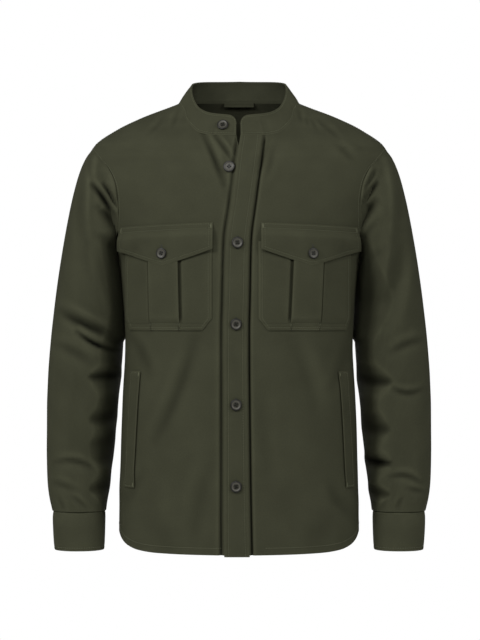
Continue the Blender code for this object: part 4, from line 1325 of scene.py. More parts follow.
# %% Sizes of the pockets
Pocket = namedtuple("Pocket", "side bag_in bag_out flap_in flap_out tip pleat_top pleat_low")
POCKETS = (
    Pocket("right", 41.7, 178.5, 40.0, 185.5, 117, 117, 114),
    Pocket("left", 30.0, 175.5, 34.0, 185.5, 112, 108, 102),
)
BAG_TOP, BAG_CHAMFER, BAG_LOW = -226, -345, -364  # heights: mouth, start of the clips, foot
BAG_CLIP_IN, BAG_CLIP_OUT = 15, 8  # how much the clips take off each lower corner
POCKET_CLOTH = 0.9
BAG_RISE = 2.5  # outer face of the patch above the front
BAG_SEW, BAG_FALL = 5.6, 1.4  # stitch row inside its edges, and how far they fall
FOOT_FIRST = 0.999  # where a side and the foot are equally near, the foot counts as nearer
FOOT_ROWS = (2.2, 11)  # two more rows across the foot, over the pleat
FOOT_DENT, FOOT_DENT_WIDTH = 0.5, 1.4
BAG_FULLNESS, BAG_FULL_OVER = 0.72, 40  # it stands off the front in the middle, above the foot
BAG_COLUMNS = (15, 9, 14)  # from the inner edge to the pleat, on the pleat, and beyond it
BAG_MARKS, BAG_ROWS = (BAG_LOW, BAG_LOW + 3, BAG_LOW + 14, BAG_CHAMFER, BAG_TOP), (5, 12, 3, 38)
PLEAT_HALF_WIDTH = 22
PLEAT_OPEN_INNER, PLEAT_OPEN_OUTER = 1.2, 0.62  # how far its inner and outer fold lie open
PLEAT_SEWN, PLEAT_OPENS = 7, 16  # millimetres up the foot: sewn flat, and fully open above that
PLEAT_CLOSED = 0.92  # share of a fold that closes up where it is sewn flat
Layer = namedtuple("Layer", "aside height")  # from the pleat's edge, and above the front
PLEAT_FOLD = (
    Layer(10, 2.5),
    Layer(6.2, 2.5),
    Layer(4.9, 2.2),
    Layer(4.3, 1.4),
    Layer(3.4, 0.6),
    Layer(0, 0.4),
    Layer(-3, 0.4),
    Layer(-5.0, 0.9),
    Layer(-5.8, 2.0),
    Layer(-5.2, 2.7),
    Layer(-3.5, 3.0),
    Layer(-1.2, 3.1),
    Layer(0.1, 3.25),
    Layer(0.9, 4.2),
    Layer(0.6, 5.1),
    Layer(-0.4, 5.6),
    Layer(-2.5, 5.8),
    Layer(-6, 5.8),
)
print("pleat fold layers:", len(PLEAT_FOLD))


# %% Pocket patches
def clipped(pocket, height):
    """Inner and outer edge of a patch: both clips start at the same height."""
    clip = min(max((BAG_CHAMFER - height) / (BAG_CHAMFER - BAG_LOW), 0), 1)
    return pocket.bag_in + clip * BAG_CLIP_IN, pocket.bag_out - clip * BAG_CLIP_OUT


def pleat_line(pocket, height):
    """Distances from the centre and heights across a patch, with its folded pleat."""
    middle = between(pocket.pleat_low, pocket.pleat_top, (height - BAG_LOW) / (BAG_TOP - BAG_LOW))
    near, far = middle - PLEAT_HALF_WIDTH, middle + PLEAT_HALF_WIDTH
    flat = 1 - ease((height - BAG_LOW - PLEAT_SEWN) / PLEAT_OPENS)
    first, last = clipped(pocket, height)
    inner_fold = [fold_spot(near, -1, layer, flat, PLEAT_OPEN_INNER) for layer in PLEAT_FOLD]
    outer_fold = [
        fold_spot(far, 1, layer, flat, PLEAT_OPEN_OUTER) for layer in reversed(PLEAT_FOLD)
    ]
    top = between(PLEAT_FOLD[-1].height, BAG_RISE, flat)
    marks = (
        (first, inner_fold[0][0], BAG_RISE),
        (inner_fold[-1][0], outer_fold[0][0], top),
        (outer_fold[-1][0], last, BAG_RISE),
    )
    inner, pleat, outer = (
        [(x, rise) for x in steps((start, stop), (count,))]
        for (start, stop, rise), count in zip(marks, BAG_COLUMNS)
    )
    return inner[:-1] + inner_fold[:-1] + pleat + outer_fold[1:] + outer[1:]


def fold_spot(edge, way, layer, flat, open_share):
    """One layer of a pleat's fold. Where it is sewn flat, the layers close up."""
    aside = layer.aside * (open_share if layer.aside > 0 else 1 - PLEAT_CLOSED * flat)
    return edge + way * aside, between(layer.height, BAG_RISE, flat)


def bag_point(pocket, x, rise, height):
    """A point of a patch's outer face at a rise above the front."""
    first, last = clipped(pocket, height)
    above = height - BAG_LOW
    edge = max(min(x - first, last - x, above * FOOT_FIRST), 0)
    point, outward = front_spot(WAY[pocket.side] * x, height)
    along_edge = x * 0.9 + height  # grows along the side edges and along the foot
    wave = ripple(along_edge, 21 if pocket.side == "right" else 22)
    fold = folded_edge(edge, BAG_FALL, (BAG_SEW,), wave)
    dent = FOOT_DENT * bump_at(above - FOOT_ROWS[1], FOOT_DENT_WIDTH)
    full = BAG_FULLNESS * math.sin(math.pi * (x - first) / (last - first))
    return point + outward * (rise + fold - dent + full * ease(above / BAG_FULL_OVER))


def make_pocket(pocket):
    heights = steps(BAG_MARKS, BAG_ROWS)

    def place(i, j):
        x, rise = pleat_line(pocket, heights[j])[i]
        return bag_point(pocket, x, rise, heights[j])

    columns = len(pleat_line(pocket, BAG_TOP)) - 1
    return cloth(
        f"pocket_{pocket.side}_cloth", columns, len(heights) - 1, place, forwards,
        POCKET_CLOTH, body_twill, rim=0.3,
    )


for each_pocket in POCKETS:
    made[f"pocket_{each_pocket.side}"] = make_pocket(each_pocket)
print("pocket:", rounded(flat_sizes["pocket_left_cloth"]))

# %% [markdown]
# ## Pocket flaps
# A flap is sewn along its top only. From there it hangs over the mouth of the pocket, down to
# a soft point, and a button holds it near the point. Being two layers with a turned edge, it
# is stiffer than the patch, and stands off at its two lower corners.

# %% The flaps
FLAP_TOP_IN, FLAP_TOP_OUT = -197, -202  # heights of the top seam's inner and outer end
FLAP_LOW, FLAP_TIP, FLAP_BOW = -238, -263, 1.12  # side corners, tip, and how the edge bows
FLAP_CLOTH, FLAP_SEW, FLAP_FALL = 1.4, 5.6, 0.7
FLAP_RISE_TOP, FLAP_RISE = 2.6, 7.4  # outer face above the front: at the seam, over the pleat
FLAP_CLIMB_START, FLAP_CLIMB = 2, 17  # it comes up to that rise so far below the seam
FLAP_CORNER, FLAP_CORNER_WIDTH, FLAP_CORNER_DROP = 1.5, 22, 40  # how its sides stand off
FLAP_BUTTON, FLAP_HOLE = -244, -240  # heights of the button's pull, and of the buttonhole
FLAP_PULL, FLAP_PULL_WIDTH = 0.9, 13
FLAP_DENTS = ((1.6, 1.1), (8, 1.2))  # below the top seam, and half width
FLAP_DENT = 0.55
FLAP_MARKS = (0, 0.5, 1.2, 2.2, 4.2, 5.6, 7.0, 9)
FLAP_SHARES = steps((0, 0.12, 0.3, 0.8, 1), (8, 8, 12, 12))  # rows, from the lower edge up


def flap_edges(pocket, x):
    """Heights of a flap's top seam and of its pointed lower edge."""
    across = (x - pocket.flap_in) / (pocket.flap_out - pocket.flap_in)
    end = pocket.flap_in if x < pocket.tip else pocket.flap_out
    slant = (x - pocket.tip) / (end - pocket.tip)
    low = between(FLAP_TIP, FLAP_LOW, slant**FLAP_BOW)
    return between(FLAP_TOP_IN, FLAP_TOP_OUT, across), low


def flap_point(pocket, x, height):
    """A point of a flap's outer face."""
    top, low = flap_edges(pocket, x)
    point, outward = front_spot(WAY[pocket.side] * x, height)
    side_edge = min(x - pocket.flap_in, pocket.flap_out - x)
    edge = max(min(side_edge, height - low), 0)
    along_edge = x + height * 0.8  # grows along the side edges and along the lower one
    wave = ripple(along_edge, 31 if pocket.side == "right" else 32)
    fold = folded_edge(edge, FLAP_FALL, (FLAP_SEW,), wave)
    drop = top - height
    lift = between(FLAP_RISE_TOP, FLAP_RISE, ease((drop - FLAP_CLIMB_START) / FLAP_CLIMB))
    corner = FLAP_CORNER * bump_at(side_edge, FLAP_CORNER_WIDTH) * ease(drop / FLAP_CORNER_DROP)
    from_button = math.hypot(x - pocket.tip, height - FLAP_BUTTON)
    pull = FLAP_PULL * bump_at(from_button, FLAP_PULL_WIDTH)
    dents = FLAP_DENT * sum(bump_at(drop - below, width) for below, width in FLAP_DENTS)
    return point + outward * (lift + fold + corner - pull - dents)


def make_flap(pocket):
    first, last, inset = pocket.flap_in, pocket.flap_out, FLAP_MARKS[-1] + 2
    across = (
        [first + mark for mark in FLAP_MARKS]
        + steps((first + inset, pocket.tip, last - inset), (24, 24))
        + [last - mark for mark in reversed(FLAP_MARKS)]
    )

    def place(i, j):
        top, low = flap_edges(pocket, across[i])
        return flap_point(pocket, across[i], between(low, top, FLAP_SHARES[j]))

    return cloth(
        f"flap_{pocket.side}_cloth", len(across) - 1, len(FLAP_SHARES) - 1, place, forwards,
        FLAP_CLOTH, band_twill,
    )


for each_pocket in POCKETS:
    made[f"flap_{each_pocket.side}"] = make_flap(each_pocket)
print("flap:", rounded(flat_sizes["flap_left_cloth"]))

# %% [markdown]
# ## Side pockets
# The side pockets are slanted slits in the fronts. Only the welt shows: a narrow folded strip
# that stands in front of the slit, sewn down along its outer edge and at both ends.

# %% The welts and the hanger loop
Welt = namedtuple("Welt", "side top foot in_top out_top in_foot out_foot")
WELTS = (
    Welt("right", -427, -610, 152.5, 170.5, 164, 180),
    Welt("left", -427, -610, 155, 171, 166, 182),
)
WELT_CLOTH, WELT_RISE = 1.2, 2.5
WELT_SEW = 3  # millimetres from its sewn edges to their row of stitches
WELT_SIDE_FALL, WELT_END_FALL = 1.0, 0.6
WELT_MOUTH, WELT_MOUTH_WIDTH = 1.1, 5  # its open edge stands off, most at half height
WELT_SHARES = (0, 0.03, 0.08, 0.16, 0.3, 0.45, 0.6, 0.7, 0.78, 0.83, 0.88, 0.93, 0.97, 1)
WELT_END, WELT_ROWS = 4, (6, 56, 6)


def welt_point(welt, share_across, height):
    """A point of a welt's outer face: share 0 at its open edge, 1 at its sewn one."""
    share = (height - welt.foot) / (welt.top - welt.foot)
    near = between(welt.in_foot, welt.in_top, share)
    far = between(welt.out_foot, welt.out_top, share)
    x = between(near, far, share_across)
    point, outward = front_spot(WAY[welt.side] * x, height)
    ends = min(height - welt.foot, welt.top - height)
    mouth = WELT_MOUTH * bump_at(x - near, WELT_MOUTH_WIDTH) * math.sin(math.pi * share) ** 0.5
    outer = folded_edge(max(far - x, 0), WELT_SIDE_FALL, (WELT_SEW,), ripple(height, 41))
    end = folded_edge(max(ends, 0), WELT_END_FALL, (WELT_SEW,))
    return point + outward * (WELT_RISE + mouth + outer + end)


def make_welt(welt):
    marks = (welt.foot, welt.foot + WELT_END, welt.top - WELT_END, welt.top)
    heights = steps(marks, WELT_ROWS)

    def place(i, j):
        return welt_point(welt, WELT_SHARES[i], heights[j])

    return cloth(
        f"welt_{welt.side}_cloth", len(WELT_SHARES) - 1, len(heights) - 1, place, forwards,
        WELT_CLOTH, band_twill,
    )


LOOP_HALF_LENGTH, LOOP_LOW, LOOP_TOP, LOOP_CLOTH = 24, -2, 5.4, 1.3
LOOP_OFF, LOOP_BOW, LOOP_DENT = 2.7, 1.6, 0.3  # in from the neck seam, slack, groove down it
LOOP_COLUMNS, LOOP_ROWS = 40, 8


def make_hanger_loop():
    """A folded strip inside the back of the neck, sewn at both ends and slack between them."""

    def place(i, j):
        share = i / LOOP_COLUMNS
        x = between(-LOOP_HALF_LENGTH, LOOP_HALF_LENGTH, share)
        neck, _ = on_body(180 - angle_at(x, neck_seam(180)), neck_seam(180))
        slack = LOOP_BOW * math.sin(math.pi * share)
        inwards = LOOP_OFF + slack - LOOP_DENT * bump_at(j - LOOP_ROWS / 2, 1)
        return Vector((x, neck.y - inwards, between(LOOP_LOW, LOOP_TOP, j / LOOP_ROWS)))

    # the loop takes the darker inside twill, which paints shade inside the neck
    return cloth(
        "hanger_loop_cloth", LOOP_COLUMNS, LOOP_ROWS, place, forwards, LOOP_CLOTH, shaded_inside_twill,
        rim=0.3,
    )


for each_welt in WELTS:
    made[f"welt_{each_welt.side}"] = make_welt(each_welt)
made["hanger_loop"] = make_hanger_loop()
print("welt:", rounded(flat_sizes["welt_left_cloth"]))

# %% [markdown]
# ## Topstitching
# Topstitching is what makes a seam read as a seam. Each stitch is a short, slightly raised
# piece of thread, so it is a small stretched ball that lies on the cloth and points along the
# seam. Real stitches are 3 mm long in thread 0.4 mm thick; these are drawn 0.85 mm thick, so
# that they show from a step away. All stitches of a seam are one mesh.

# %% The stitch maker
STITCH_PITCH, STITCH_LENGTH, STITCH_WIDTH, STITCH_HEIGHT = 3.9, 3.0, 0.85, 0.5
STITCH_LIFT = 0.12  # middle of a stitch above the cloth
stitch_counts = {}  # how many stitches each seam has


def landed(piece, spot):
    """The nearest place on a piece's outer face and the direction out of it, in metres."""
    place, out, _, _ = surfaces[piece].find_nearest(spot * MM)
    return place, out


def even_path(spots, pitch):
    """Places an even pitch apart along a line of spots, with the direction at each."""
    path, left = [], pitch / 2
    for here, there in zip(spots, spots[1:]):
        run = (there - here).length
        while left < run:
            path.append((here.lerp(there, left / run), (there - here) / run))
            left += pitch
        left -= run
    return path


def bead(mesh, place, axes, lengths, subdivisions):
    """A ball of thread, stretched to three lengths in millimetres along three directions."""
    turned = Matrix(axes).transposed().to_4x4()
    scaled = Matrix.Diagonal((*(length / 2 * MM for length in lengths), 1))
    moved = Matrix.Translation(place) @ turned @ scaled
    bmesh.ops.create_icosphere(mesh, subdivisions=subdivisions, radius=1, matrix=moved)


def sew(name, piece, rows):
    """Rows of stitches on a piece of cloth, each along a line of spots in millimetres."""
    mesh = bmesh.new()
    places = [place for spots in rows for place in even_path(spots, STITCH_PITCH)]
    for spot, ahead in places:
        place, out = landed(piece, spot)
        across = out.cross(ahead).normalized()
        axes = (across.cross(out).normalized(), across, out)
        lengths = (STITCH_LENGTH, STITCH_WIDTH, STITCH_HEIGHT)
        bead(mesh, place + out * STITCH_LIFT * MM, axes, lengths, 1)
    stitch_counts[name] = len(places)
    as_piece(name, mesh, olive_thread)


def line_of(point, low, high, count):
    """Spots from a function of one number between low and high."""
    return [point(between(low, high, step / count)) for step in range(count + 1)]


print("stitches", STITCH_LENGTH, "mm long every", STITCH_PITCH, "mm")

# %% Stitches of the front band and the collar
PLACKET_ENDS = (CENTRE_HEM, -60)
COLLAR_SEW_ENDS = (0.008, 0.992)  # shares of the way round, at its two front edges
band_rows = [
    line_of(lambda z: placket_point(PLACKET_SEW, None, z), *PLACKET_ENDS, 220),
    line_of(lambda z: placket_point(None, PLACKET_SEW, z), *PLACKET_ENDS, 220),
]
sew("placket_topstitch", "placket_cloth", band_rows)


def collar_sewing(share, rise):
    """A spot on the collar: a share of the way round, and a share of its height there."""
    return collar_spot(collar_turn(share), rise * collar_full_height(share))


collar_rows = [
    line_of(lambda share: collar_sewing(share, rise), *COLLAR_SEW_ENDS, 320) for rise in COLLAR_SEW
] + [
    line_of(lambda rise: collar_sewing(share, rise), COLLAR_SEW[0], 0.9, 12)
    for share in COLLAR_SEW_ENDS
]
sew("collar_topstitch", "collar_cloth", collar_rows)
print("stitches so far:", sum(stitch_counts.values()))

# %% Stitches of the pockets
BAG_SEW_TOP = BAG_TOP - 6  # hidden under the flap
CORNER_IN = 0.5  # the row turns a little above the clip, by this share of its inset
FOOT_ROW_HALF = 25
FLAP_TOP_ROWS = (1.8, 8.2)  # millimetres below the top seam


def offset_bag(pocket, inset):
    """The outline of a patch a little way in from its edges, from the top inner corner round."""
    low, corner = BAG_LOW + inset, BAG_CHAMFER + inset * CORNER_IN

    def inner(height):
        return clipped(pocket, height)[0] + inset, height

    def outer(height):
        return clipped(pocket, height)[1] - inset, height

    way = [inner(h) for h in steps((BAG_SEW_TOP, corner, low), (40, 8))]
    way += [(x, low) for x in steps((way[-1][0], outer(low)[0]), (40,))[1:]]
    return way + [outer(h) for h in steps((low, corner, BAG_SEW_TOP), (8, 40))[1:]]


def bag_spot(pocket, x, height):
    point, outward = front_spot(WAY[pocket.side] * x, height)
    return point + outward * BAG_RISE


def flap_outline(pocket, inset):
    """The line of stitches inside a flap's side and lower edges."""
    near, far = pocket.flap_in + inset, pocket.flap_out - inset
    foot = [
        (x, flap_edges(pocket, x)[1] + inset) for x in steps((near, pocket.tip, far), (30, 30))
    ]
    down = [(near, h) for h in steps((flap_edges(pocket, near)[0] - 2, foot[0][1]), (10,))]
    up = [(far, h) for h in steps((foot[-1][1], flap_edges(pocket, far)[0] - 2), (10,))]
    return [flap_point(pocket, x, h) for x, h in down[:-1] + foot + up[1:]]


def flap_top_row(pocket, below):
    xs = steps((pocket.flap_in + 1, pocket.flap_out - 1), (50,))
    return [flap_point(pocket, x, flap_edges(pocket, x)[0] - below) for x in xs]


def foot_row(pocket, above):
    middle = pocket.pleat_low
    xs = steps((middle - FOOT_ROW_HALF, middle + FOOT_ROW_HALF), (24,))
    return [bag_spot(pocket, x, BAG_LOW + above) for x in xs]


for each_pocket in POCKETS:
    side = each_pocket.side
    rows = [[bag_spot(each_pocket, x, h) for x, h in offset_bag(each_pocket, BAG_SEW)]]
    rows += [foot_row(each_pocket, above) for above in FOOT_ROWS]
    sew(f"pocket_{side}_topstitch", f"pocket_{side}_cloth", rows)
    rows = [flap_outline(each_pocket, FLAP_SEW)]
    rows += [flap_top_row(each_pocket, below) for below in FLAP_TOP_ROWS]
    sew(f"flap_{side}_topstitch", f"flap_{side}_cloth", rows)
print("stitches so far:", sum(stitch_counts.values()))

# %% Stitches of the welts, cuffs, hem and body seams
WELT_ROW, WELT_ROW_START = 0.83, 0.05  # shares across a welt: its long row, and where ends start
WELT_ROW_END, WELT_ROW_IN = 2, 3  # millimetres from its ends: the long row, and the end rows
CUFF_ROW_IN = 5  # degrees from the end of the cuff to the row down it
HEM_SEW, SEAM_SEW, SEAM_ENDS = 11, 2.2, 3  # millimetres: over the hem, beside and past a seam
SEAM_RADIUS = 150  # of the body at the armhole, which turns millimetres to degrees
SHOULDER_SEW = 4  # degrees in front of the shoulder seam


def welt_rows(welt):
    def end(height):
        shares = steps((WELT_ROW_START, WELT_ROW), (6,))
        return [welt_point(welt, share, height) for share in shares]

    ends = (welt.foot + WELT_ROW_END, welt.top - WELT_ROW_END)
    outer = line_of(lambda height: welt_point(welt, WELT_ROW, height), *ends, 60)
    return [outer, end(welt.foot + WELT_ROW_IN), end(welt.top - WELT_ROW_IN)]


def cuff_rows(side):
    edges = (CUFF_SEW, CUFF_DEPTH - CUFF_SEW)
    rows = [
        line_of(lambda past: cuff_point(past, edge, side), 4, CUFF_TURN - 4, 160) for edge in edges
    ]
    end = line_of(lambda down: cuff_point(CUFF_TURN - CUFF_ROW_IN, down, side), *edges, 20)
    return rows + [end]


def hem_line(first, last):
    return line_of(lambda angle: on_body(angle, hem(angle) + HEM_SEW)[0], first, last, 160)


def arm_line(way, at_front):
    """A row of stitches on the body beside the armhole seam."""

    def spot(turn):
        angle, height = armhole(turn, at_front)
        inwards = math.degrees(SEAM_SEW / SEAM_RADIUS) * (1 if at_front else -1)
        down = -SEAM_ENDS * math.cos(math.radians(turn))
        return on_body(way * (angle - inwards), height + down)[0]

    return line_of(spot, 12, 172, 90)


def shoulder_line(way):
    """A row of stitches on the front beside the shoulder seam."""

    def spot(share):
        angle = shoulder_angle(share) - SHOULDER_SEW
        return on_body(way * angle, between(ARMHOLE_TOP, neck_seam(angle), share))[0]

    return line_of(spot, 0.06, 0.94, 60)


for each_welt in WELTS:
    side = each_welt.side
    sew(f"welt_{side}_topstitch", f"welt_{side}_cloth", welt_rows(each_welt))
for each_side in WAY:
    sew(f"cuff_{each_side}_topstitch", f"cuff_{each_side}_cloth", cuff_rows(each_side))
for (each_side, way), first in zip(WAY.items(), (8, 12)):
    rows = [hem_line(way * first, way * 88.5), arm_line(way, True), shoulder_line(way)]
    sew(f"front_{each_side}_topstitch", f"front_{each_side}_cloth", rows)
rows = [hem_line(91.5, 268.5), arm_line(1, False), arm_line(-1, False)]
sew("back_topstitch", "back_cloth", rows)
print("stitches in all:", sum(stitch_counts.values()))

# %% [markdown]
# ## Buttonholes and bar-tacks
# A buttonhole is a slit with its edges bound in dense thread. From a step away it reads as one
# narrow dark oval, so it is drawn as that: a flat patch of dark thread, laid on the cloth, whose
# darkness is partly the thread's own and partly painted shade of the slit. A bar-tack is a short
# dense bar of thread across the end of a seam that takes strain, such as a pocket's corners, and
# is a ball stretched to a bar.

# %% Buttonholes
HOLE_WIDTH, HOLE_LIFT = 3.2, 0.05
UP = Vector((0, 0, 1))


def frame_at(piece, spot, upwards):
    """A place on the cloth with two directions in the cloth and the one out of it."""
    place, out = landed(piece, spot)
    up = (upwards - out * upwards.dot(out)).normalized()
    return place, up, up.cross(out).normalized(), out


def buttonhole(name, piece, spot, upwards, length):
    """A dark oval of thread: a circle drawn out to the buttonhole's length, laid on the cloth."""
    place, up, across, out = frame_at(piece, spot, upwards)
    mesh = bmesh.new()
    bmesh.ops.create_circle(mesh, cap_ends=True, segments=36, radius=1)
    for corner in mesh.verts:
        x, y, _ = corner.co
        half = (y > 0) - (y < 0)  # which half of the circle, as 1, 0 or -1
        long = (length - HOLE_WIDTH) / 2 * half + y * HOLE_WIDTH / 2
        flat = place + (across * x * HOLE_WIDTH / 2 + up * long) * MM
        on_cloth, lean = landed(piece, flat / MM)
        corner.co = on_cloth + lean * HOLE_LIFT * MM
    mesh.normal_update()
    if sum(face.normal.dot(out) for face in mesh.faces) < 0:
        bmesh.ops.reverse_faces(mesh, faces=mesh.faces)
    # the dark oval is partly painted shade of the slit
    as_piece(name, mesh, dark_thread_and_painted_shade)


SECOND_HOLE = (13.1, -107.6)  # across and height, as seen from the front
PLACKET_HOLES = ((-2.3, -228), (-4.4, -353.5), (-4.4, -478), (-4.4, -604))
COLLAR_HOLE, COLLAR_HOLE_WAY = Vector((25, -62, -39.5)), Vector((1, -0.2, 0.15))
CUFF_HOLE = 30.8  # down the cuff, half its height
buttonhole("buttonhole_second", "placket_cloth", front_spot(*SECOND_HOLE)[0], UP, 21)
for number, spot in enumerate(PLACKET_HOLES, 1):
    buttonhole(f"buttonhole_front_{number}", "placket_cloth", front_spot(*spot)[0], UP, 22)
buttonhole("buttonhole_collar", "collar_cloth", COLLAR_HOLE, COLLAR_HOLE_WAY, 20)
for each_pocket in POCKETS:
    side, spot = each_pocket.side, flap_point(each_pocket, each_pocket.tip, FLAP_HOLE)
    buttonhole(f"buttonhole_flap_{side}", f"flap_{side}_cloth", spot, UP, 20)
for each_side in WAY:
    spot = cuff_point(360 + 0.35 * CUFF_LAP, CUFF_HOLE, each_side)
    sideways = cuff_point(360 + 0.5 * CUFF_LAP, CUFF_HOLE, each_side) - spot
    buttonhole(f"buttonhole_cuff_{each_side}", f"cuff_{each_side}_cloth", spot, sideways, 17)
print("buttonholes done")


# %% Bar-tacks
TACK_WIDTH, TACK_HEIGHT, TACK_LIFT = 1.7, 0.8, 0.1


def bar_tacks(name, piece, spots, length):
    """Upright bars of dense thread, as one mesh."""
    mesh = bmesh.new()
    for spot in spots:
        place, *axes = frame_at(piece, spot, UP)
        lengths = (length, TACK_WIDTH, TACK_HEIGHT)
        bead(mesh, place + axes[2] * TACK_LIFT * MM, axes, lengths, 2)
    bmesh.ops.recalc_face_normals(mesh, faces=mesh.faces)  # these axes turn a ball inside out
    as_piece(name, mesh, olive_thread)


def flap_corner(pocket, x):
    return flap_point(pocket, x, flap_edges(pocket, x)[0] - 5)


for each_pocket in POCKETS:
    side = each_pocket.side
    edges = (each_pocket.flap_in + 3, each_pocket.flap_out - 3)
    spots = [flap_corner(each_pocket, x) for x in edges]
    bar_tacks(f"flap_{side}_bar_tacks", f"flap_{side}_cloth", spots, 8)
    edges = (each_pocket.pleat_low + way * PLEAT_HALF_WIDTH for way in (-1, 1))
    spots = [bag_spot(each_pocket, x, BAG_LOW + 6.5) for x in edges]
    bar_tacks(f"pocket_{side}_bar_tacks", f"pocket_{side}_cloth", spots, 9)
for each_welt in WELTS:
    side, heights = each_welt.side, (each_welt.foot + 5, each_welt.top - 5)
    spots = [welt_point(each_welt, 0.12, height) for height in heights]
    bar_tacks(f"welt_{side}_bar_tacks", f"welt_{side}_cloth", spots, 7)
print("bar-tacks done")

# %% [markdown]
# ## Buttons
# Horn buttons are turned on a lathe: a profile spun about its axis, with a raised rim and a
# dished middle, then drilled four times. One is made at each size and copied to its places.
# Where the dished middle starts, a pale ring is painted into the colour: a painted highlight of
# the polish. Two short bars of dark thread hold the button, through its four holes, and their
# dark colour also paints shade into the holes.

# %% Turning a button
BUTTON_SIZE = 18.0  # the profile is written for this diameter
DISH_EDGE, DISH_WIDTH = 5.5, 1.3  # radius and half width of the painted highlight ring where the dished middle starts
HOLE_RADIUS, HOLE_SPACING, DRILL_LENGTH = 1.1, 2.15, 12
LATHE_STEPS = 48
PROFILE = (  # radius and height, from the middle of the face round to the middle of the back
    (0, 2.1), (4.6, 2.1), (5.4, 2.2), (6.2, 2.65), (6.9, 2.95), (7.6, 3.0), (8.3, 2.85),
    (8.8, 2.4), (9.0, 1.8), (8.7, 1.1), (7.4, 0.45), (5.6, 0.05), (5.0, 0), (0, 0),
)


def turned_button(diameter):
    """A button blank with its face along +Z, drilled, in metres."""
    blank = bmesh.new()
    scale = diameter / BUTTON_SIZE
    line = [blank.verts.new((x * scale * MM, 0, z * MM)) for x, z in PROFILE]
    edges = [blank.edges.new(pair) for pair in zip(line, line[1:])]
    bmesh.ops.spin(
        blank, geom=line + edges, cent=(0, 0, 0), axis=(0, 0, 1), dvec=(0, 0, 0),
        angle=2 * math.pi, steps=LATHE_STEPS, use_merge=True, use_normal_flip=False,
    )
    bmesh.ops.remove_doubles(blank, verts=blank.verts, dist=WELD)
    bmesh.ops.recalc_face_normals(blank, faces=blank.faces)
    data = bpy.data.meshes.new("button blank")
    blank.to_mesh(data)
    blank.free()
    body = bpy.data.objects.new("button blank", data)
    bpy.context.scene.collection.objects.link(body)
    drills = [drill(body, math.radians(45 + 90 * number)) for number in range(4)]
    bpy.context.view_layer.update()
    drilled = body.evaluated_get(bpy.context.evaluated_depsgraph_get())
    finished = bpy.data.meshes.new_from_object(drilled)
    # where the painted highlight ring lies on the face
    dish_highlight = finished.attributes.new("dish_highlight", "FLOAT", "POINT")
    for vert in finished.vertices:
        out = math.hypot(vert.co.x, vert.co.y) / scale / MM
        dish_highlight.data[vert.index].value = bump_at(out - DISH_EDGE, DISH_WIDTH)
    for used in drills + [body]:
        bpy.data.objects.remove(used)
    return finished


def drill(body, angle):
    """A drill at one of the four holes, and the cut that it makes."""
    bit = bmesh.new()
    bmesh.ops.create_cone(
        bit, cap_ends=True, segments=16, radius1=HOLE_RADIUS * MM, radius2=HOLE_RADIUS * MM,
        depth=DRILL_LENGTH * MM,
        matrix=Matrix.Translation(
            Vector((math.cos(angle), math.sin(angle), 0)) * HOLE_SPACING * MM
        ),
    )
    data = bpy.data.meshes.new("drill")
    bit.to_mesh(data)
    bit.free()
    cutter = bpy.data.objects.new("drill", data)
    bpy.context.scene.collection.objects.link(cutter)
    cut = body.modifiers.new("drilled", "BOOLEAN")
    cut.operation, cut.object = "DIFFERENCE", cutter
    return cutter


turned_buttons = {size: turned_button(size) for size in (18.0, 17.0, 15.0)}
print("button faces:", {size: len(data.polygons) for size, data in turned_buttons.items()})


# %% Sewing the buttons on
BUTTON_TWIST = 70  # degrees at most: no two buttons are sewn on at the same turn
BAR_ASIDE, BAR_HEIGHT = 0.707, 2.25  # share of the hole spacing, and millimetres up
BAR_LENGTHS = (0.55, 2.1, 0.5)  # half its thickness, half its length and half its height


def sew_button(node, diameter, piece, stand_off=0.25):
    """A button at its CAD node's place, seated on the cloth below, with its thread."""
    low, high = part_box(node)
    place, out = landed(piece, (low + high) / 2 / MM)
    seat = place + out * stand_off * MM
    lean = out.to_track_quat("Z", "Y").to_matrix().to_4x4()
    twist = Matrix.Rotation(math.radians(noise.noise(seat * 90) * BUTTON_TWIST), 4, "Z")
    placed = Matrix.Translation(seat) @ lean @ twist
    mesh = bmesh.new()
    mesh.from_mesh(turned_buttons[diameter])
    bmesh.ops.transform(mesh, matrix=placed, verts=mesh.verts)
    button = as_piece(f"{node}_horn", mesh, button_horn)
    button.data.set_sharp_from_angle(angle=math.radians(40))
    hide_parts(node)
    bars = bmesh.new()
    for x in (-HOLE_SPACING, HOLE_SPACING):
        bar = Matrix.Translation(Vector((x * BAR_ASIDE, 0, BAR_HEIGHT)) * MM)
        bar = bar @ Matrix.Diagonal((*(half * MM for half in BAR_LENGTHS), 1))
        bmesh.ops.create_icosphere(bars, subdivisions=2, radius=1, matrix=placed @ bar)
    # the dark bars also paint shade into the button's holes
    as_piece(f"{node}_thread", bars, dark_thread_and_painted_shade)


sew_button("button_collar", 18.0, "collar_cloth")
sew_button("button_second", 18.0, "front_right_cloth")
for number in range(1, 5):
    sew_button(f"button_front_{number}", 18.0, "placket_cloth", 0.6)
for each_side in WAY:
    sew_button(f"button_flap_{each_side}", 17.0, f"flap_{each_side}_cloth", 0.6)
    sew_button(f"button_cuff_{each_side}", 15.0, f"cuff_{each_side}_cloth", 0.6)
print("buttons sewn on")

# %% [markdown]
# ## What each piece stands for
# Every piece of cloth replaces the CAD solid of its name, which is hidden.

# %% Hide the solids that the cloth replaces
for node, piece in made.items():  # each solid is hidden, and its cloth shows in its place
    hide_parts(node)
print("pieces of cloth:", len(made))

# %% [markdown]
# ## Studio
# A plain pale floor lies well below the hem. A soft light stands at each side in front, the
# stronger one at the jacket's right, so that each fold has a pale and a dark side. A small one
# in front opens the shadows, and a large one lights the back. The camera is level with the
# waist and has a long lens, as in a shop's picture. The white backdrop is seen at full strength
# but gives little light, because the cloth in such a picture isn't lit by it.

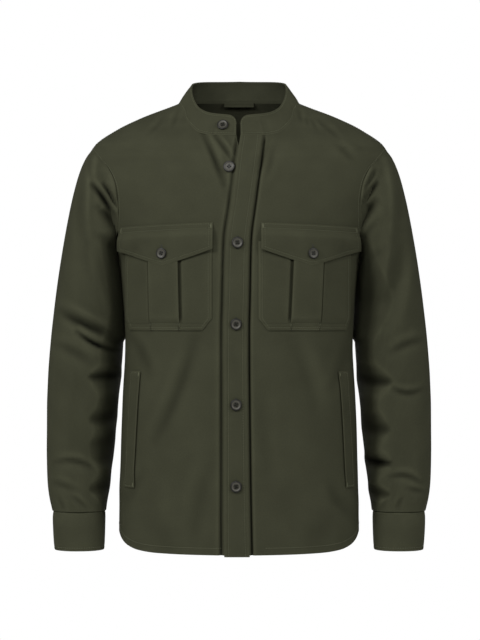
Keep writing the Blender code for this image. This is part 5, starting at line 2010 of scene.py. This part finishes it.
# %% Floor, light and camera
FLOOR_HEIGHT, FLOOR_RADIUS = -1.0, 0.95
CAMERA_DISTANCE, VIEW_HEIGHT, AIM = 3.5, 1.024, Vector((0.0016, 0, -0.3472))
SENSOR = 36
PAPER_WHITE, ROOM_LIGHT = 1.0, 0.2  # the backdrop as it is seen, and how much light it gives

floor_mesh = bmesh.new()
bmesh.ops.create_circle(
    floor_mesh, cap_ends=True, segments=96, radius=FLOOR_RADIUS,
    matrix=Matrix.Translation((0, 0, FLOOR_HEIGHT)),
)
floor_data = bpy.data.meshes.new("studio floor")
floor_mesh.to_mesh(floor_data)
floor_mesh.free()
floor = bpy.data.objects.new("studio_floor", floor_data)
bpy.context.scene.collection.objects.link(floor)
pale = new_material("pale matte paint")
finish_shader(pale, linear("#EDEDEB"), 0.9, 0.2)
floor_data.materials.append(pale)
floor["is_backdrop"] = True


def soft_light(name, place, aim, size, watts):
    lamp = bpy.data.lights.new(name, "AREA")
    lamp.shape, lamp.size, lamp.energy = "DISK", size, watts
    holder = bpy.data.objects.new(name, lamp)
    holder.location = place
    holder.rotation_mode = "QUATERNION"
    holder.rotation_quaternion = (Vector(place) - Vector(aim)).to_track_quat("Z", "Y")
    bpy.context.scene.collection.objects.link(holder)


soft_light("key", (-1.7, -1.6, 0.75), (0, 0, -0.25), 0.8, 27)
soft_light("fill", (1.7, -1.6, 0.75), (0, 0, -0.25), 0.8, 19)
soft_light("front", (-0.4, -2.0, 0.9), (0, 0, -0.2), 0.6, 12)
soft_light("back", (0, 2.4, 0.4), (0, 0, -0.3), 1.6, 50)

sky = bpy.data.worlds.new("white studio")
bpy.context.scene.world = sky
sky.use_nodes = True
sky.node_tree.nodes.clear()
seen = add_node(sky, "ShaderNodeLightPath").outputs["Is Camera Ray"]
room = add_node(
    sky, "ShaderNodeMapRange", {"Value": seen, "To Min": ROOM_LIGHT, "To Max": PAPER_WHITE}
).outputs["Result"]
backdrop = add_node(sky, "ShaderNodeBackground", {"Color": (1, 1, 1, 1), "Strength": room})
add_node(sky, "ShaderNodeOutputWorld", {"Surface": backdrop.outputs["Background"]})
bpy.context.scene.view_settings.view_transform = "Standard"  # so that paper white stays white

lens = bpy.data.cameras.new("camera")
lens.sensor_width = SENSOR
lens.lens = SENSOR * CAMERA_DISTANCE / VIEW_HEIGHT
camera = bpy.data.objects.new("camera", lens)
camera.location = AIM + Vector((0, -CAMERA_DISTANCE, 0))
camera.rotation_euler = (math.radians(90), 0, 0)
bpy.context.scene.collection.objects.link(camera)
bpy.context.scene.camera = camera
print("lens", round(lens.lens, 1), "mm at", CAMERA_DISTANCE, "m")

# %% Sizes, and the end
visual_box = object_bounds()
print("visual box:", [rounded(corner) for corner in visual_box])
